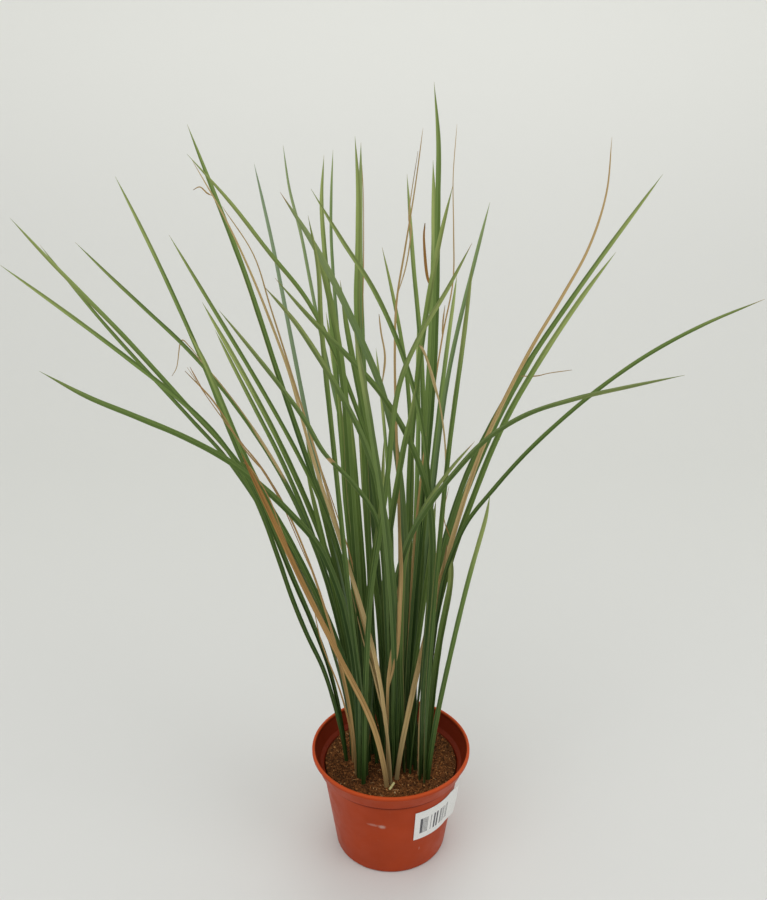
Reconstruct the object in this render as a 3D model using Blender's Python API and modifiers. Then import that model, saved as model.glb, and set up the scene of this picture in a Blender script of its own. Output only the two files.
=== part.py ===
"""A clump of ornamental grass in a 12 cm plastic nursery pot, in metres, +Z up.

The origin is the centre of the pot's underside. The front of the plant faces -Y.
Each leaf is a slender folded solid that stands in a pocket in the soil.
"""

import math
from collections import namedtuple

import bmesh
import bpy
import numpy as np
from mathutils import Matrix, Vector, geometry

NAME = "potted_grass_clump"

# Pot
POT_HEIGHT = 0.085
LIP_RADIUS = 0.060
LIP_HEIGHT = 0.0030
LIP_ROUND = 0.0009
BAND_TOP_RADIUS = 0.0590
BAND_FOOT_RADIUS = 0.0552
BAND_FOOT_HEIGHT = 0.0716
STEP_HEIGHT = 0.0012
WALL_TOP_RADIUS = 0.0524
WALL_FOOT_RADIUS = 0.0422
FOOT_ROUND = 0.0022
POT_WALL = 0.0012
POT_FLOOR = 0.0018
CHANNEL_RADII = (0.0250, 0.0345)
CHANNEL_DEPTH = 0.0016
DRAIN_HOLES = 6
DRAIN_HOLE_RADIUS = 0.0036
DRAIN_HOLE_SIDES = 12
POT_STEPS = 36

# Soil
SOIL_TOP = 0.0712
SOIL_ROUGHNESS = 0.0008
MOUND_LENGTHS = (0.030, 0.035)
LUMP_LENGTHS = (0.0134, 0.0161)
LUMP_SHARE = 0.6
SOIL_STEPS = 18
SOIL_RINGS = 6
GAP = 0.0003
POCKET_DEPTH = 0.0125
POCKET_MARGIN = 0.0008
POCKET_REACH = 0.004
POCKET_TOP = 0.006

# Price label
LABEL_HEIGHT = 0.028
LABEL_LENGTH = 0.0445
LABEL_FOOT_HEIGHT = 0.033
LABEL_START = math.radians(20.4)
LABEL_PEEL_FROM = 0.034
LABEL_PEEL = math.radians(8)
LABEL_THICKNESS = 0.0003
LABEL_CELLS = 18

# Cut stub of a leaf
STUB_RADIUS = 0.0011
STUB_FOOT = (-0.0028, -0.0352, 0.0690)
STUB_END = (0.0024, -0.0308, 0.0748)
STUB_SIDES = 10

# Leaves
LEAF_RINGS = 15
PATH_POINTS = 72
LEAF_THICKNESS = 0.0010
SHEATH_THICKNESS = 0.0020
SHEATH_PART = 0.16
SHEATH_WIDTH = 0.74
WIDEST_AT = 0.30
NARROWING = 0.25
WITHERED = 0.75
TAPER_POWER = 12
TAPER_ROUND = 0.45
FOLD = 0.55
FOLD_LOST_AT_TIP = 0.6
FOOT_TURN = math.radians(80)
TIP_TURN = math.radians(28)
TURNED_AT = 0.42
TIP_WIDTH = 0.0005
TIP_THICKNESS = 0.0003
LEAN_POWER = 1.35
FOOT_LEAN = 0.008
FOOT_TUCK = 0.0032
CURVE_CUTS = 12

# Room kept between leaves
LEAF_ROOM = 0.0009
ROOM_PER_WIDTH = 0.54
ROOM_ROUNDS = 320
SMOOTH_ROUNDS = 272
PAIR_ROUNDS = 10
PAIR_REACH = 0.015
FREE_HEIGHT = 0.045
SIDE_GIVE = 0.25

# The place that the plant is seen from. Leaf paths are read as points of that view.
EYE = np.array((-0.0056, -0.616, 0.565))
EYE_TILT = math.radians(21.2)
VIEW_FOCAL = 979.0
VIEW_CENTRE = (383.5, 450.0)

# Where each tuft stands in the soil
TUFTS = {
    "left": (-0.0300, 0.0010),
    "left_front": (-0.0215, -0.0195),
    "back_left": (-0.0160, 0.0120),
    "back": (-0.0010, 0.0130),
    "middle": (0.0010, -0.0070),
    "inner_right": (0.0125, -0.0110),
    "right": (0.0240, -0.0185),
    "back_right": (0.0200, 0.0060),
    "front": (0.0025, -0.0200),
    "dry": (0.0005, -0.0285),
}

# width is at the widest, tip_depth is the tip's Y, view_path runs from tip to foot, and narrowing is
# the share of the width that is lost along the leaf
Leaf = namedtuple("Leaf", "tuft width tip_depth view_path narrowing", defaults=(NARROWING,))

GREEN_LEAVES = (
    Leaf("left", 0.0036, -0.030,
         ((0, 265), (60, 308), (140, 368), (210, 428), (250, 487), (300, 617), (328, 677))),
    Leaf("left", 0.0040, 0.050,
         ((10, 218), (55, 266), (120, 332), (200, 420), (244, 470), (292, 575), (330, 668))),
    Leaf("left", 0.0049, 0.090,
         ((40, 245), (100, 318), (180, 406), (229, 460), (262, 508), (318, 606), (346, 700))),
    Leaf("left", 0.0042, 0.120,
         ((115, 176), (150, 245), (201, 357), (233, 438), (262, 500), (322, 610), (346, 690))),
    Leaf("left_front", 0.0047, 0.020,
         ((186, 326), (209, 372), (233, 430), (262, 492), (300, 560), (350, 680))),
    Leaf("left_front", 0.0051, -0.090,
         ((39, 371), (80, 393), (160, 426), (200, 444), (240, 468), (285, 507), (325, 555), (356, 660))),
    Leaf("back_left", 0.0051, 0.050,
         ((75, 242), (120, 285), (200, 361), (254, 430), (294, 497), (328, 580), (352, 680))),
    Leaf("left_front", 0.0033, -0.040,
         ((169, 235), (207, 298), (267, 398), (306, 470), (332, 530), (354, 630))),
    Leaf("back_left", 0.0047, 0.060,
         ((202, 302), (243, 374), (280, 444), (318, 530), (344, 610), (360, 690))),
    Leaf("left", 0.0047, 0.120,
         ((215, 330), (250, 398), (287, 471), (320, 555), (340, 630), (352, 700))),
    Leaf("middle", 0.0042, -0.150,
         ((219, 310), (257, 356), (303, 416), (333, 464), (360, 489), (378, 520), (388, 600))),
    Leaf("back_left", 0.0045, 0.080,
         ((187, 124), (201, 160), (247, 280), (273, 360), (300, 440), (340, 560), (366, 690))),
    Leaf("middle", 0.0034, -0.060,
         ((187, 154), (205, 171), (259, 240), (307, 300), (344, 376), (382, 500), (390, 660))),
    Leaf("back_left", 0.0046, 0.190,
         ((254, 163), (272, 240), (296, 360), (316, 460), (338, 560), (362, 680))),
    Leaf("back", 0.0033, 0.150,
         ((283, 145), (283, 162), (298, 220), (318, 320), (350, 470), (372, 660))),
    Leaf("middle", 0.0053, -0.120,
         ((280, 192), (318, 252), (352, 320), (388, 410), (404, 540), (398, 700))),
    Leaf("left_front", 0.0054, -0.080,
         ((313, 240), (329, 295), (342, 370), (352, 500), (362, 680))),
    Leaf("back", 0.0054, 0.110,
         ((324, 155), (322, 205), (334, 340), (350, 520), (368, 690))),
    Leaf("back_left", 0.0033, 0.210,
         ((333, 150), (331, 230), (343, 390), (360, 560), (372, 680))),
    Leaf("inner_right", 0.0036, -0.150,
         ((311, 189), (325, 215), (372, 287), (404, 360), (422, 430), (430, 550), (414, 720))),
    Leaf("left_front", 0.0049, 0.010,
         ((355, 136), (359, 210), (357, 300), (366, 480), (372, 680))),
    Leaf("back", 0.0056, 0.170,
         ((361, 142), (361, 280), (367, 420), (380, 600), (386, 700))),
    Leaf("inner_right", 0.0036, 0.020,
         ((382, 247), (393, 297), (407, 380), (411, 500), (404, 700))),
    Leaf("middle", 0.0051, -0.030,
         ((340, 280), (347, 330), (368, 440), (388, 600), (392, 700))),
    Leaf("right", 0.0049, -0.120,
         ((275, 278), (309, 316), (376, 386), (406, 432), (428, 490), (434, 560), (424, 700))),
    Leaf("middle", 0.0042, -0.190,
         ((263, 285), (297, 324), (344, 399), (364, 440), (384, 510), (396, 640))),
    Leaf("inner_right", 0.0054, 0.030,
         ((434, 82), (437, 98), (437, 220), (433, 370), (422, 500), (408, 680))),
    Leaf("back_right", 0.0060, 0.120,
         ((433, 160), (434, 245), (430, 360), (420, 540), (412, 680))),
    Leaf("middle", 0.0048, -0.050,
         ((453, 185), (440, 240), (424, 330), (412, 440), (408, 540), (400, 690))),
    Leaf("inner_right", 0.0040, 0.080,
         ((407, 174), (413, 260), (422, 370), (422, 540), (410, 700))),
    Leaf("left_front", 0.0044, -0.140,
         ((472, 243), (451, 282), (420, 334), (397, 390), (389, 455), (381, 519), (370, 589), (364, 690))),
    Leaf("back_right", 0.0041, 0.150,
         ((490, 202), (475, 260), (450, 366), (434, 480), (416, 690))),
    Leaf("right", 0.0037, -0.120,
         ((473, 261), (464, 337), (449, 450), (434, 600), (424, 720))),
    Leaf("back_right", 0.0049, 0.200,
         ((457, 275), (444, 370), (426, 530), (414, 690))),
    Leaf("right", 0.0053, 0.060,
         ((663, 174), (600, 258), (520, 374), (484, 437), (456, 500), (434, 590), (424, 700))),
    Leaf("right", 0.0045, -0.010,
         ((616, 252), (570, 314), (507, 417), (477, 487), (450, 563), (434, 630), (424, 710))),
    Leaf("right", 0.0031, -0.110,
         ((765, 299), (680, 336), (605, 384), (531, 448), (488, 496), (453, 548), (430, 680))),
    Leaf("middle", 0.0051, -0.185,
         ((685, 375), (600, 392), (540, 408), (498, 429), (454, 472), (405, 548), (388, 670))),
    Leaf("right", 0.0042, -0.060,
         ((490, 495), (487, 512), (468, 580), (447, 665), (432, 730))),
    Leaf("right", 0.0058, -0.035,
         ((451, 549), (451, 580), (440, 640), (430, 710))),
    Leaf("back_right", 0.0052, 0.100,
         ((545, 338), (510, 396), (477, 465), (448, 545), (424, 690))),
    Leaf("inner_right", 0.0044, -0.085,
         ((475, 441), (440, 481), (408, 540), (398, 640), (402, 710))),
    Leaf("back", 0.0040, 0.090,
         ((326, 312), (336, 380), (350, 490), (368, 640), (376, 710))),
    Leaf("back", 0.0040, 0.210,
         ((376, 348), (384, 420), (392, 540), (390, 680))),
    Leaf("middle", 0.0042, -0.200,
         ((354, 330), (368, 410), (384, 520), (394, 660))),
    Leaf("back_right", 0.0052, 0.230,
         ((417, 330), (418, 420), (414, 560), (408, 690))),
    Leaf("left_front", 0.0039, -0.120,
         ((308, 215), (317, 255), (322, 330), (334, 447), (350, 600), (362, 710))),
)

DRY_LEAVES = (
    Leaf("dry", 0.0050, 0.030,
         ((612, 137), (611, 170), (590, 245), (530, 351), (484, 445), (441, 580), (405, 725)), WITHERED),
    Leaf("inner_right", 0.0026, 0.060,
         ((457, 124), (452, 205), (455, 262), (441, 344), (418, 500), (406, 680)), WITHERED),
    Leaf("front", 0.0032, -0.060,
         ((423, 128), (411, 215), (396, 306), (395, 400), (401, 580), (393, 700)), WITHERED),
    Leaf("left_front", 0.0031, -0.070,
         ((187, 367), (222, 418), (275, 488), (318, 585), (350, 700)), WITHERED),
    Leaf("dry", 0.0045, -0.100,
         ((241, 452), (263, 497), (305, 587), (340, 656), (376, 728))),
    Leaf("dry", 0.0038, -0.100,
         ((192, 160), (236, 240), (290, 375), (312, 455), (343, 550), (377, 665), (388, 740)), WITHERED),
    Leaf("middle", 0.0026, -0.150,
         ((222, 206), (247, 240), (268, 300), (318, 462), (352, 580), (382, 705)), WITHERED),
    Leaf("left", 0.0025, -0.010,
         ((312, 596), (321, 640), (340, 690), (350, 730)), WITHERED),
    Leaf("right", 0.0028, -0.080,
         ((422, 345), (438, 395), (446, 470), (434, 600), (422, 710)), WITHERED),
)


def cleared_scene():
    """Removes what the scene holds."""
    for ob in list(bpy.data.objects):
        bpy.data.objects.remove(ob, do_unlink=True)


def new_collection(name):
    """A collection of that name in the scene."""
    made = bpy.data.collections.new(name)
    bpy.context.scene.collection.children.link(made)
    return made


def material(name, colour, roughness, metallic=0.0):
    """A plain surface of one colour."""
    made = bpy.data.materials.new(name)
    made.use_nodes = True
    shader = made.node_tree.nodes["Principled BSDF"]
    shader.inputs["Base Color"].default_value = (*colour, 1.0)
    shader.inputs["Roughness"].default_value = roughness
    shader.inputs["Metallic"].default_value = metallic
    made.diffuse_color = (*colour, 1.0)
    return made


def object_from(bm, name, collection, surface=None):
    """An object that holds the shape built in bm."""
    mesh = bpy.data.meshes.new(name)
    bm.to_mesh(mesh)
    bm.free()
    if surface:
        mesh.materials.append(surface)
    made = bpy.data.objects.new(name, mesh)
    collection.objects.link(made)
    return made


def hide_as_cutter(ob):
    """Keeps a cutter out of the finished object."""
    ob.hide_render = True
    ob.display_type = "WIRE"


def cut(ob, cutter):
    """Takes the cutter's space out of an object."""
    boolean = ob.modifiers.new("cut_" + cutter.name, "BOOLEAN")
    boolean.operation = "DIFFERENCE"
    boolean.solver = "EXACT"
    boolean.object = cutter


def arc(centre, radius, start, end, points):
    """Points of an arc as (r, z), both ends among them. Angles are in degrees from +X."""
    angles = [math.radians(start + (end - start) * i / (points - 1)) for i in range(points)]
    return [(centre[0] + radius * math.cos(a), centre[1] + radius * math.sin(a)) for a in angles]


def turned(name, profile, steps, collection, surface):
    """A body turned from a profile of (r, z) points, which runs down its outer side."""
    bm = bmesh.new()
    points = [bm.verts.new((r, 0.0, z)) for r, z in profile]
    for first, second in zip(points, points[1:]):
        bm.edges.new((first, second))
    made = object_from(bm, name, collection, surface)
    screw = made.modifiers.new("turn", "SCREW")
    screw.steps = steps
    screw.render_steps = steps
    screw.use_merge_vertices = True
    screw.merge_threshold = 0.00001
    screw.use_smooth_shade = True
    return made


def wall_radius(height):
    """The outer radius of the pot's tapered wall at a height."""
    share = height / BAND_FOOT_HEIGHT
    return WALL_FOOT_RADIUS + (WALL_TOP_RADIUS - WALL_FOOT_RADIUS) * share


def pot_profile():
    """The pot's section: inner side up, over the lip and down the outer side."""
    lip_foot = POT_HEIGHT - LIP_HEIGHT
    wall_top = BAND_FOOT_HEIGHT - STEP_HEIGHT
    ledge_top = BAND_FOOT_HEIGHT + POT_WALL
    inner_foot_height = POT_FLOOR + FOOT_ROUND
    inner_foot = (wall_radius(inner_foot_height) - POT_WALL - FOOT_ROUND, inner_foot_height)
    lip_inside = BAND_TOP_RADIUS - POT_WALL
    channel_inner, channel_outer = CHANNEL_RADII
    slope = CHANNEL_DEPTH
    profile = [(0.0, POT_FLOOR)]
    profile += [(channel_inner - slope, POT_FLOOR), (channel_inner, POT_FLOOR + CHANNEL_DEPTH)]
    profile += [(channel_outer, POT_FLOOR + CHANNEL_DEPTH), (channel_outer + slope, POT_FLOOR)]
    profile += arc(inner_foot, FOOT_ROUND, -90, 0, 2)
    profile += [(wall_radius(wall_top) - POT_WALL, wall_top)]
    profile += [(BAND_FOOT_RADIUS - POT_WALL, ledge_top)]
    profile += [(lip_inside, lip_foot)]
    profile += arc((lip_inside + LIP_ROUND, POT_HEIGHT - LIP_ROUND), LIP_ROUND, 180, 90, 3)
    profile += arc((LIP_RADIUS - LIP_ROUND, POT_HEIGHT - LIP_ROUND), LIP_ROUND, 90, 0, 3)
    profile += arc((LIP_RADIUS - LIP_ROUND, lip_foot + LIP_ROUND), LIP_ROUND, 0, -90, 3)
    profile += [(BAND_TOP_RADIUS, lip_foot)]
    profile += [(BAND_FOOT_RADIUS, BAND_FOOT_HEIGHT)]
    profile += [(wall_radius(wall_top), wall_top)]
    profile += arc((WALL_FOOT_RADIUS - FOOT_ROUND, FOOT_ROUND), FOOT_ROUND, 0, -90, 3)
    profile += [(channel_outer, 0.0), (channel_outer - slope, CHANNEL_DEPTH)]
    profile += [(channel_inner + slope, CHANNEL_DEPTH), (channel_inner, 0.0)]
    profile += [(0.0, 0.0)]
    return profile


def make_pot(collection, cutters):
    """The plastic pot, with drain holes in the channel of its floor."""
    surface = material("pot_plastic", (0.38, 0.085, 0.035), 0.42)
    pot = turned("pot", pot_profile(), POT_STEPS, collection, surface)
    ring = sum(CHANNEL_RADII) / 2
    bm = bmesh.new()
    for i in range(DRAIN_HOLES):
        turn = Matrix.Rotation(2 * math.pi * (i + 0.5) / DRAIN_HOLES, 4, "Z")
        place = turn @ Matrix.Translation((ring, 0.0, POT_FLOOR))
        bmesh.ops.create_cone(bm, cap_ends=True, segments=DRAIN_HOLE_SIDES, radius1=DRAIN_HOLE_RADIUS,
                              radius2=DRAIN_HOLE_RADIUS, depth=4 * POT_FLOOR, matrix=place)
    holes = object_from(bm, "drain_holes", cutters)
    hide_as_cutter(holes)
    cut(pot, holes)
    return pot


def soil_height(x, y):
    """How high the soil stands, with low mounds and small lumps on them."""
    turns = 2 * math.pi
    mounds = math.sin(turns * x / MOUND_LENGTHS[0] + 1.0) * math.cos(turns * y / MOUND_LENGTHS[1])
    lumps = math.sin(turns * (x / LUMP_LENGTHS[0] - y / LUMP_LENGTHS[1]))
    return SOIL_TOP + SOIL_ROUGHNESS * (mounds + LUMP_SHARE * lumps)


def make_soil(collection):
    """The plug of soil: it follows the pot's inner wall and has an uneven top."""
    surface = material("soil", (0.085, 0.040, 0.022), 0.95)
    foot = POT_FLOOR + CHANNEL_DEPTH + GAP
    top_radius = wall_radius(SOIL_TOP - STEP_HEIGHT) - POT_WALL - 2 * GAP
    foot_radius = wall_radius(foot) - POT_WALL - FOOT_ROUND
    shoulder = FOOT_ROUND + foot
    profile = [(top_radius * i / SOIL_RINGS, SOIL_TOP) for i in range(SOIL_RINGS + 1)]
    profile += [(wall_radius(shoulder) - POT_WALL - 2 * GAP, shoulder)]
    profile += [(foot_radius, foot), (0.0, foot)]
    soil = turned("potting_soil", profile, SOIL_STEPS, collection, surface)
    solid = bpy.data.meshes.new_from_object(soil.evaluated_get(bpy.context.evaluated_depsgraph_get()))
    soil.modifiers.clear()
    soil.data = solid
    for vertex in solid.vertices:
        if vertex.co.z > SOIL_TOP - GAP:
            vertex.co.z = soil_height(vertex.co.x, vertex.co.y)
    return soil


def make_label(collection):
    """The paper label round the pot's wall, its far end standing off the wall."""
    surface = material("label_paper", (0.80, 0.80, 0.78), 0.7)
    bm = bmesh.new()
    columns = []
    for i in range(LABEL_CELLS + 1):
        along = LABEL_LENGTH * i / LABEL_CELLS
        column = []
        for height in (LABEL_FOOT_HEIGHT, LABEL_FOOT_HEIGHT + LABEL_HEIGHT):
            radius = wall_radius(height) + GAP
            middle = wall_radius(LABEL_FOOT_HEIGHT + LABEL_HEIGHT / 2)
            angle = LABEL_START + min(along, LABEL_PEEL_FROM) / middle
            loose = max(0.0, along - LABEL_PEEL_FROM)
            outward = Vector((math.sin(angle), -math.cos(angle), 0.0))
            onward = Vector((math.cos(angle), math.sin(angle), 0.0))
            lifted = onward * math.cos(LABEL_PEEL) + outward * math.sin(LABEL_PEEL)
            point = outward * radius + lifted * loose
            column.append(bm.verts.new((point.x, point.y, height)))
        columns.append(column)
    for left, right in zip(columns, columns[1:]):
        bm.faces.new((left[0], right[0], right[1], left[1]))
    label = object_from(bm, "price_label", collection, surface)
    solidify = label.modifiers.new("thickness", "SOLIDIFY")
    solidify.thickness = LABEL_THICKNESS
    solidify.offset = 1.0
    return label


def tube_between(name, start, end, radius, collection, surface=None):
    """A round rod between two points."""
    start, end = Vector(start), Vector(end)
    run = end - start
    turn = run.to_track_quat("Z", "Y").to_matrix().to_4x4()
    bm = bmesh.new()
    bmesh.ops.create_cone(bm, cap_ends=True, segments=STUB_SIDES, radius1=radius, radius2=radius,
                          depth=run.length, matrix=Matrix.Translation((start + end) / 2) @ turn)
    return object_from(bm, name, collection, surface)


def make_stub(collection, cutters, soil):
    """The end of a leaf that was cut off over the soil, and its pocket."""
    surface = material("cut_stub", (0.55, 0.50, 0.20), 0.6)
    stub = tube_between("cut_stub", STUB_FOOT, STUB_END, STUB_RADIUS, collection, surface)
    run = (Vector(STUB_END) - Vector(STUB_FOOT)).normalized()
    deeper = Vector(STUB_FOOT) - run * GAP
    pocket = tube_between("stub_pocket", deeper, STUB_END, STUB_RADIUS + GAP, cutters)
    hide_as_cutter(pocket)
    cut(soil, pocket)
    return stub


def sight(pixel):
    """The direction in which a point of the view lies, from the eye."""
    across = (pixel[0] - VIEW_CENTRE[0]) / VIEW_FOCAL
    up = (VIEW_CENTRE[1] - pixel[1]) / VIEW_FOCAL
    level = math.cos(EYE_TILT) + up * math.sin(EYE_TILT)
    return np.array((across, level, up * math.cos(EYE_TILT) - math.sin(EYE_TILT)))


def seen_at(pixel, depth):
    """The point at Y = depth that shows at a point of the view."""
    line = sight(pixel)
    return EYE + line * (depth - EYE[1]) / line[1]


def in_view(point):
    """Where a point shows in the view."""
    run = np.asarray(point) - EYE
    away = run[1] * math.cos(EYE_TILT) - run[2] * math.sin(EYE_TILT)
    up = run[1] * math.sin(EYE_TILT) + run[2] * math.cos(EYE_TILT)
    return (VIEW_CENTRE[0] + VIEW_FOCAL * run[0] / away, VIEW_CENTRE[1] - VIEW_FOCAL * up / away)


def evenly_spaced(points, count):
    """Points at equal steps on a smooth curve through the given points."""
    points = np.asarray(points)
    steps = np.linalg.norm(np.diff(points, axis=0), axis=1)
    knots = np.concatenate(([0.0], np.cumsum(np.sqrt(steps))))
    slopes = np.gradient(points, knots, axis=0, edge_order=1)
    fine = np.linspace(0.0, knots[-1], CURVE_CUTS * len(points))
    span = np.clip(np.searchsorted(knots, fine, side="right") - 1, 0, len(knots) - 2)
    width = knots[span + 1] - knots[span]
    t = ((fine - knots[span]) / width)[:, None]
    width = width[:, None]
    start, end = points[span], points[span + 1]
    curve = (2 * t**3 - 3 * t**2 + 1) * start + (t**3 - 2 * t**2 + t) * width * slopes[span]
    curve += (3 * t**2 - 2 * t**3) * end + (t**3 - t**2) * width * slopes[span + 1]
    length = np.concatenate(([0.0], np.cumsum(np.linalg.norm(np.diff(curve, axis=0), axis=1))))
    wanted = np.linspace(0.0, length[-1], count)
    return np.stack([np.interp(wanted, length, curve[:, axis]) for axis in range(3)], axis=1)


def leaf_path(leaf):
    """A leaf's middle line from its foot in the soil to its tip."""
    tuft = np.array((*TUFTS[leaf.tuft], SOIL_TOP))
    pixels = [in_view(tuft)] + list(reversed(leaf.view_path))
    steps = [math.dist(a, b) for a, b in zip(pixels, pixels[1:])]
    run = np.cumsum(steps) / sum(steps)
    depths = tuft[1] + (leaf.tip_depth - tuft[1]) * run**LEAN_POWER
    above = [seen_at(pixel, depth) for pixel, depth in zip(pixels[1:], depths)]
    lean = (above[0] - tuft) / np.linalg.norm(above[0] - tuft)
    rooted = tuft - (0.0, 0.0, POCKET_DEPTH)
    aside = np.array((lean[0], lean[1], 0.0))
    return evenly_spaced([rooted + FOOT_TUCK * aside, tuft + FOOT_LEAN * aside, *above], PATH_POINTS)


def leaf_width(leaf, share):
    """A leaf's width at a share of its length."""
    growth = SHEATH_WIDTH + (1 - SHEATH_WIDTH) * min(1.0, share / WIDEST_AT)
    taper = (1 - share**TAPER_POWER) ** TAPER_ROUND
    return leaf.width * growth * (1 - leaf.narrowing * share) * taper


def leaf_room(leaf):
    """The radius of the round space that a leaf keeps at each point of its path."""
    widths = [leaf_width(leaf, i / (PATH_POINTS - 1)) for i in range(PATH_POINTS)]
    return np.maximum(np.array(widths) * ROOM_PER_WIDTH, SHEATH_THICKNESS / 2) + LEAF_ROOM / 2


def nearest_shares(start_a, run_a, start_b, run_b):
    """Where pairs of straight stretches come nearest, as shares of each stretch."""
    between = start_a - start_b
    aa = (run_a * run_a).sum(1)
    bb = (run_b * run_b).sum(1)
    ab = (run_a * run_b).sum(1)
    a_between = (run_a * between).sum(1)
    b_between = (run_b * between).sum(1)
    spread = np.maximum(aa * bb - ab * ab, 1e-16)
    share_a = np.clip((ab * b_between - bb * a_between) / spread, 0, 1)
    share_b = np.clip((ab * share_a + b_between) / bb, 0, 1)
    share_a = np.clip((ab * share_b - a_between) / aa, 0, 1)
    return share_a, share_b


def close_pairs(paths):
    """Stretches of different leaves that are near each other, as flat indexes of their first points."""
    leaves, points, _ = paths.shape
    middles = (paths[:, 1:] + paths[:, :-1]).reshape(-1, 3) / 2
    owners = np.repeat(np.arange(leaves), points - 1)
    firsts = (np.arange(leaves)[:, None] * points + np.arange(points - 1)).ravel()
    order = np.argsort(middles[:, 2], kind="stable")
    found = []
    for rank, one in enumerate(order):
        others = order[rank + 1:]
        high = np.searchsorted(middles[others, 2], middles[one, 2] + PAIR_REACH)
        others = others[:high]
        near = ((middles[others] - middles[one]) ** 2).sum(1) < PAIR_REACH**2
        others = others[near & (owners[others] != owners[one])]
        found += [(min(firsts[one], firsts[o]), max(firsts[one], firsts[o])) for o in others]
    return np.array(found)


def spread_leaves(paths, rooms):
    """Moves leaves apart along the line of sight until each has its room."""
    leaves, points, _ = paths.shape
    placed = paths.copy()
    lines = placed - EYE
    lines /= np.linalg.norm(lines, axis=2, keepdims=True)
    room = rooms.ravel()
    owner = np.repeat(np.arange(leaves), points)
    free = np.clip((placed[..., 2] - SOIL_TOP) / FREE_HEIGHT, 0, 1).reshape(-1, 1)
    for rounds in range(ROOM_ROUNDS):
        if rounds % PAIR_ROUNDS == 0:
            pairs = close_pairs(placed)
        flat = placed.reshape(-1, 3)
        line = lines.reshape(-1, 3)
        a, b = pairs[:, 0], pairs[:, 1]
        share_a, share_b = nearest_shares(flat[a], flat[a + 1] - flat[a], flat[b], flat[b + 1] - flat[b])
        share_a, share_b = share_a[:, None], share_b[:, None]
        apart = flat[a] * (1 - share_a) + flat[a + 1] * share_a
        apart -= flat[b] * (1 - share_b) + flat[b + 1] * share_b
        needed = room[a] + room[b]
        distance = np.linalg.norm(apart, axis=1)
        touching = distance < needed
        if not touching.any():
            break
        a, b, apart, needed = a[touching], b[touching], apart[touching], needed[touching]
        share_a, share_b, distance = share_a[touching], share_b[touching], distance[touching]
        view = line[a]
        along = (apart * view).sum(1)
        across = apart - along[:, None] * view
        pair = owner[a] * leaves + owner[b]
        side = np.bincount(pair, weights=along, minlength=leaves * leaves)[pair]
        sign = np.where(side >= 0, 1.0, -1.0)
        wanted = np.sqrt(np.maximum(needed**2 - (across**2).sum(1), 0))
        sighted = (sign * wanted - along)[:, None] * view
        sighted += SIDE_GIVE * across * ((needed - distance) / np.maximum(distance, 1e-5))[:, None]
        level = apart * (1, 1, 0)
        level_length = np.linalg.norm(level, axis=1)
        level[level_length < 1e-6] = (1, 0, 0)
        level_length = np.maximum(level_length, 1e-5)
        straight = level * ((needed - distance) / level_length)[:, None]
        push = free[a] * sighted + (1 - free[a]) * straight
        move = np.zeros_like(flat)
        count = np.zeros((len(flat), 1))
        for first, share, half_push in ((a, share_a, push / 2), (b, share_b, -push / 2)):
            for index, part in ((first, 1 - share), (first + 1, share)):
                np.add.at(move, index, half_push * part)
                np.add.at(count, index, part)
        flat = flat + move / np.maximum(count, 1.0)
        placed = flat.reshape(placed.shape)
        if rounds < SMOOTH_ROUNDS:
            shift = placed - paths
            for _ in range(2):
                shift[:, 1:-1] = 0.5 * shift[:, 1:-1] + 0.25 * (shift[:, :-2] + shift[:, 2:])
                shift[:, 0] = shift[:, 1]
            placed = paths + shift
    return placed


def leaf_frames(path):
    """The directions along a leaf and across it, at each point of its path."""
    runs = np.gradient(path, axis=0)
    runs /= np.linalg.norm(runs, axis=1, keepdims=True)
    sides = np.cross(runs, (0.0, -1.0, 0.0))
    sides /= np.linalg.norm(sides, axis=1, keepdims=True)
    return runs, sides


def make_leaf(name, leaf, path, turn, collection, surface):
    """A folded blade that grows from a round sheath, lofted ring by ring along its path."""
    runs, sides = leaf_frames(path)
    bm = bmesh.new()
    rings = []
    for i in range(LEAF_RINGS):
        share = i / (LEAF_RINGS - 1)
        index = round(share * (PATH_POINTS - 1))
        centre, run, side = path[index], runs[index], Vector(sides[index])
        twist = turn[0] + (turn[1] - turn[0]) * min(1.0, share / TURNED_AT)
        side.rotate(Matrix.Rotation(twist, 3, Vector(run)))
        face = Vector(run).cross(side)
        opened = min(1.0, share / SHEATH_PART)
        half = max(leaf_width(leaf, share), TIP_WIDTH) / 2
        thin = LEAF_THICKNESS * (1 - share) + TIP_THICKNESS * share
        thick = SHEATH_THICKNESS * (1 - opened) + thin * opened
        lift = half * FOLD * opened * (1 - FOLD_LOST_AT_TIP * share)
        ring = []
        for across, out in ((-half, -lift), (0.0, thick / 2), (half, -lift), (0.0, -thick / 2)):
            ring.append(bm.verts.new(Vector(centre) + side * across + face * out))
        rings.append(ring)
    bm.faces.new(rings[0])
    bm.faces.new(list(reversed(rings[-1])))
    for lower, upper in zip(rings, rings[1:]):
        for i in range(4):
            j = (i + 1) % 4
            bm.faces.new((lower[j], lower[i], upper[i], upper[j]))
    bmesh.ops.triangulate(bm, faces=bm.faces)
    return object_from(bm, name, collection, surface)


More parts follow.
